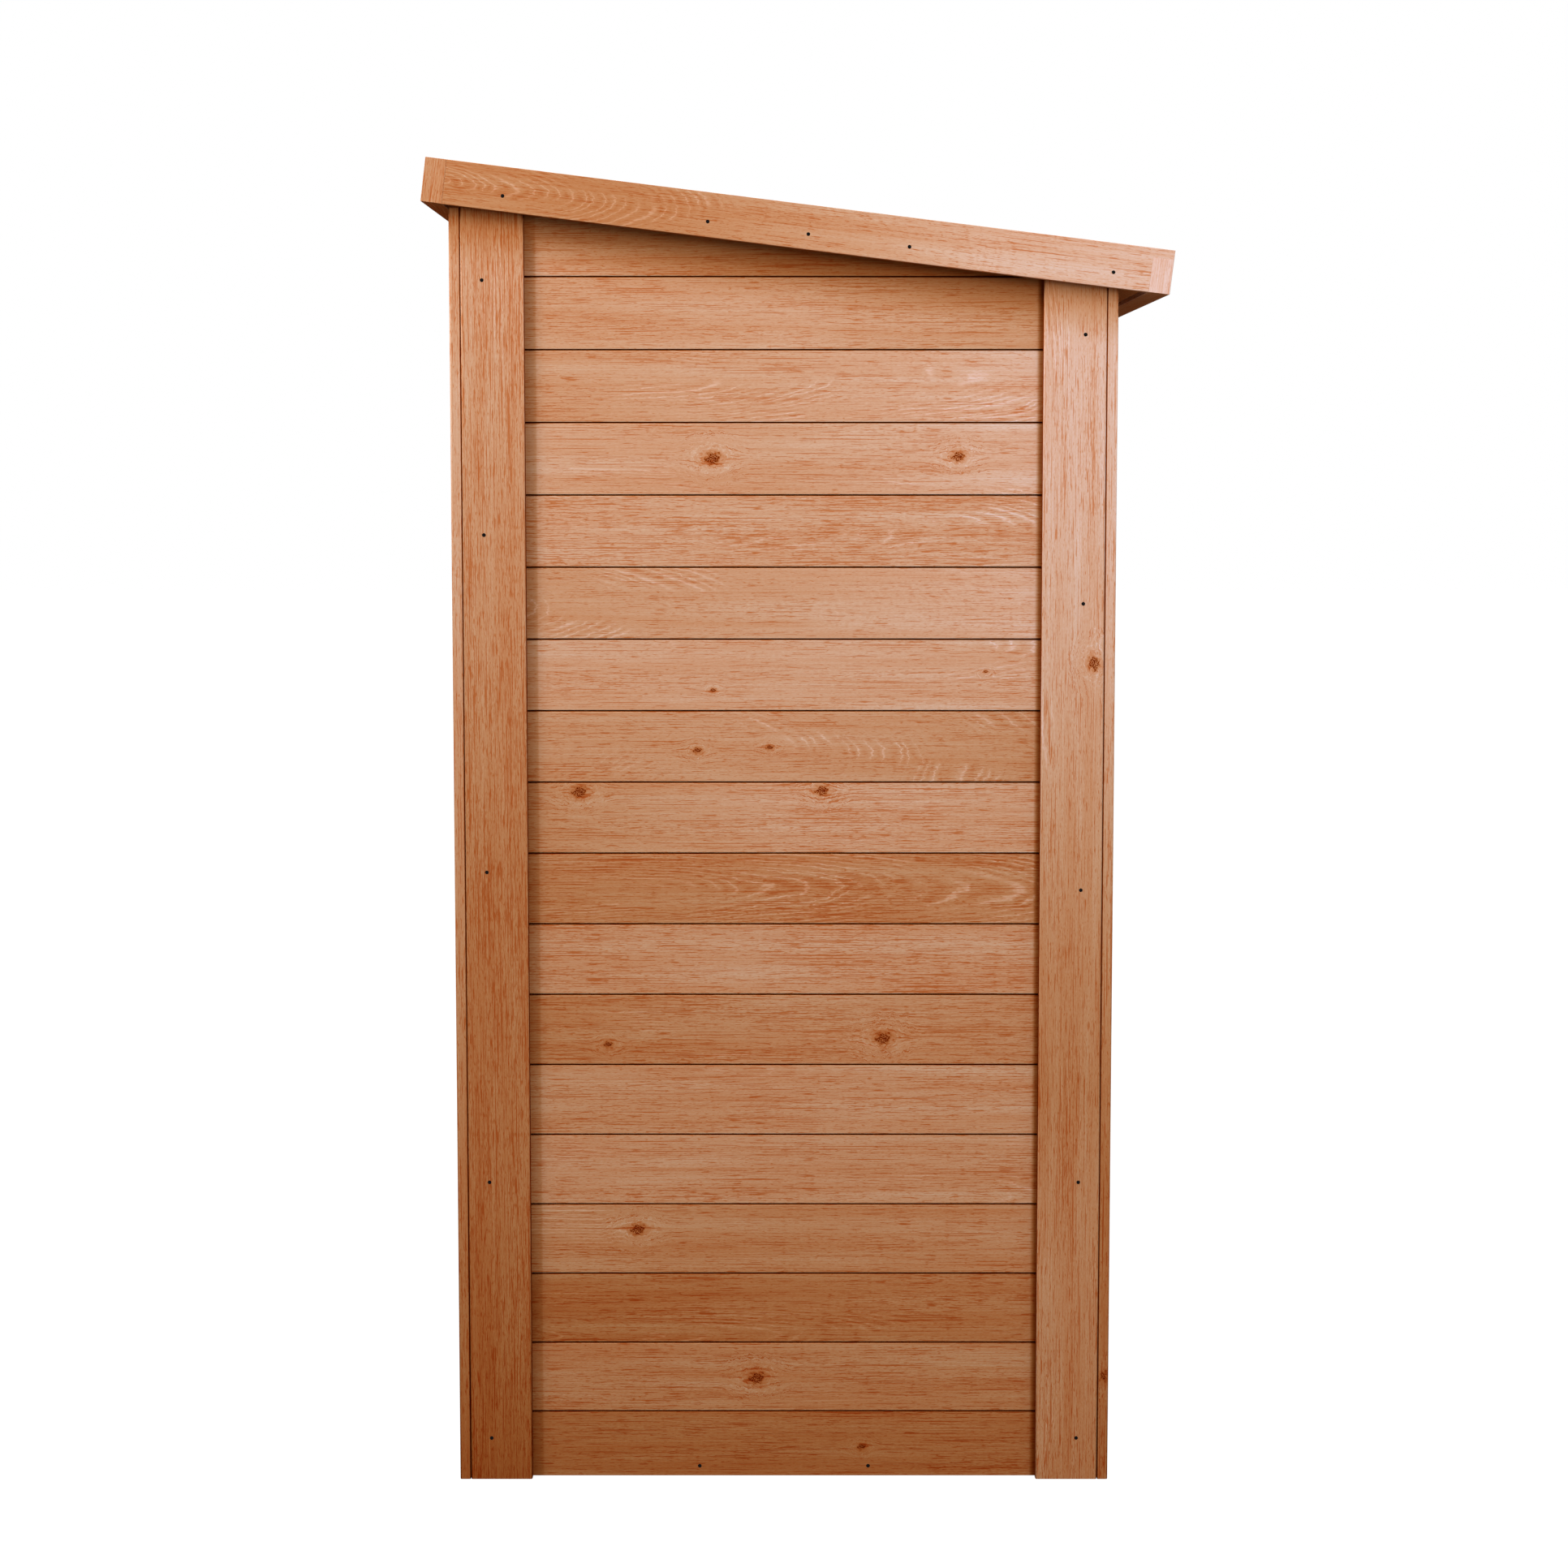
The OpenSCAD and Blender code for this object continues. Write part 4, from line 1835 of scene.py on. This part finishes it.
@dataclass
class Studio:
    """Floor, light and camera.

    Attributes:
        eye: The camera's place.
        tilt: Its angle from straight down, in degrees.
        lens: Its focal length over a 36 mm sensor.
        fill_level: Strength of the soft light from all round, straight above.
        overhead: How much of it is missing near the ground.
        key_power: Power of the main lamp in watts.
        key_from: Its direction from the front wall's middle: left, forward and up.
        key_distance: Its distance from there.
        key_size: Its width.
        side_power: Power of the large soft lamp on the right.
        side_place: Its place.
        side_target: Where it looks.
        side_size: Its width.
        floor_size: Width of the floor.
        floor_grey: How much of the light the floor gives back.
        floor_glow: How much its white is lifted where the camera sees it.
    """

    eye: tuple[float, float, float] = (-0.0233, -6.3674, 1.7179)
    tilt: float = 84.505
    lens: float = 75.42
    fill_level: float = 0.92
    overhead: float = 0.75
    key_power: float = 142.0
    key_from: tuple[float, float, float] = (-0.577, -0.389, 0.719)
    key_distance: float = 4.6
    key_size: float = 1.7
    side_power: float = 70.0
    side_place: tuple[float, float, float] = (1.9, -4.4, 2.9)
    side_target: tuple[float, float, float] = (0.4, -0.9, 1.6)
    side_size: float = 2.0
    floor_size: float = 80.0
    floor_grey: float = 0.24
    floor_glow: float = 0.89

    def camera(self) -> None:
        """Makes the camera."""
        data = bpy.data.cameras.new("camera")
        data.sensor_width = 36.0
        data.lens = self.lens
        data.clip_end = 200.0
        made = bpy.data.objects.new("camera", data)
        made.location = self.eye
        made.rotation_euler = (math.radians(self.tilt), 0.0, 0.0)
        bpy.context.scene.collection.objects.link(made)
        bpy.context.scene.camera = made

    def lamp(self, name: str, place: Vector, target: Vector, size: float, power: float) -> None:
        """Makes a round white lamp that looks at a target."""
        data = bpy.data.lights.new(name, "AREA")
        data.shape = "DISK"
        data.size = size
        data.energy = power
        made = bpy.data.objects.new(name, data)
        made.location = place
        made.rotation_mode = "QUATERNION"
        made.rotation_quaternion = (target - place).to_track_quat("-Z", "Y")
        bpy.context.scene.collection.objects.link(made)

    def world(self) -> None:
        """Makes the soft light from all round, which the camera sees as white."""
        world = bpy.data.worlds.new("studio")
        bpy.context.scene.world = world
        tree = Tree(world)
        seen = self._seen(tree)
        height = tree.split(tree.node("ShaderNodeTexCoord", {}, {}, "Generated"))[2]
        lost = self.fill_level * self.overhead
        level = height.step(-0.15, 1.0) * lost + self.fill_level * (1 - self.overhead)
        lit = tree.node("ShaderNodeBackground", {}, {"Color": WHITE, "Strength": level})
        white = tree.node("ShaderNodeBackground", {}, {"Color": WHITE, "Strength": 1.0})
        both = tree.node("ShaderNodeMixShader", {}, {0: seen, 1: lit, 2: white})
        tree.node("ShaderNodeOutputWorld", {}, {"Surface": both})

    @staticmethod
    def _seen(tree: Tree) -> Value:
        """1 on rays that see the backdrop, straight or in a surface, 0 on those that light."""
        rays = ("Is Camera Ray", "Is Glossy Ray", "Is Transmission Ray")
        camera, glossy, through = (tree.node("ShaderNodeLightPath", {}, {}, ray) for ray in rays)
        return (camera + glossy + through).clamped()

    def floor(self) -> None:
        """Makes the pale floor, which keeps the shed's shadow."""
        bm = bmesh.new()
        bmesh.ops.create_grid(bm, x_segments=8, y_segments=8, size=self.floor_size / 2)
        mesh = finished(bm, "floor")
        material = bpy.data.materials.new("floor")
        tree = Tree(material)
        grey = (self.floor_grey, self.floor_grey, self.floor_grey, 1.0)
        pale = tree.node("ShaderNodeBsdfDiffuse", {}, {"Color": grey})
        glow = tree.node("ShaderNodeEmission", {}, {"Color": WHITE, "Strength": self.floor_glow})
        lifted = tree.node("ShaderNodeAddShader", {}, {0: pale, 1: glow})
        both = tree.node("ShaderNodeMixShader", {}, {0: self._seen(tree), 1: pale, 2: lifted})
        tree.node("ShaderNodeOutputMaterial", {}, {"Surface": both})
        mesh.materials.append(material)
        made = bpy.data.objects.new("floor", mesh)
        bpy.context.scene.collection.objects.link(made)
        made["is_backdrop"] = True

    def build(self) -> None:
        """Builds the studio."""
        low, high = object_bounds()
        aim = Vector(((low.x + high.x) / 2, low.y, (low.z + high.z) / 2))
        self.camera()
        self.world()
        self.floor()
        key_place = aim + Vector(self.key_from) * self.key_distance
        side_place, side_target = Vector(self.side_place), Vector(self.side_target)
        self.lamp("key", key_place, aim, self.key_size, self.key_power)
        self.lamp("side", side_place, side_target, self.side_size, self.side_power)
        bpy.context.scene.view_settings.view_transform = "Standard"


def foot_nails(low: Vector, high: Vector) -> None:
    """The nails through the lowest front board, in the wall's box."""
    middle = (low.x + high.x) / 2
    points = [Vector((middle + x, low.y, low.z + z)) for x, z in FRONT_NAILS]
    Nails("front_wall_nails", "wall_boards").build([(point, Side.FRONT.out) for point in points])


def main() -> None:
    logging.basicConfig(level=logging.INFO, format="%(name)s: %(message)s")
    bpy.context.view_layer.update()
    slope = Slope.read()
    purlin = slope.bar("purlin_1")
    under, deck = slope.over(purlin.bottom), slope.over(purlin.top)
    front_low, front_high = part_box("front_wall")
    width = front_high.x - front_low.x
    walls = (
        BoardedWall(Side.FRONT, "front_wall", under, looks=front_looks(width)),
        BoardedWall(Side.BACK, "back_wall", under),
        BoardedWall(Side.LEFT, "left_wall", deck, covered=0.068, together=6),
        BoardedWall(Side.RIGHT, "right_wall", under, covered=0.068, together=6),
    )
    for wall in walls:
        wall.build()
    foot_nails(front_low, front_high)
    CornerTrims(slope, under).build()
    RoofEdge(slope).build()
    TimberFrame(slope, under).build()
    RoofSkin(slope).build()
    Studio().build()


if __name__ == "__main__":
    main()
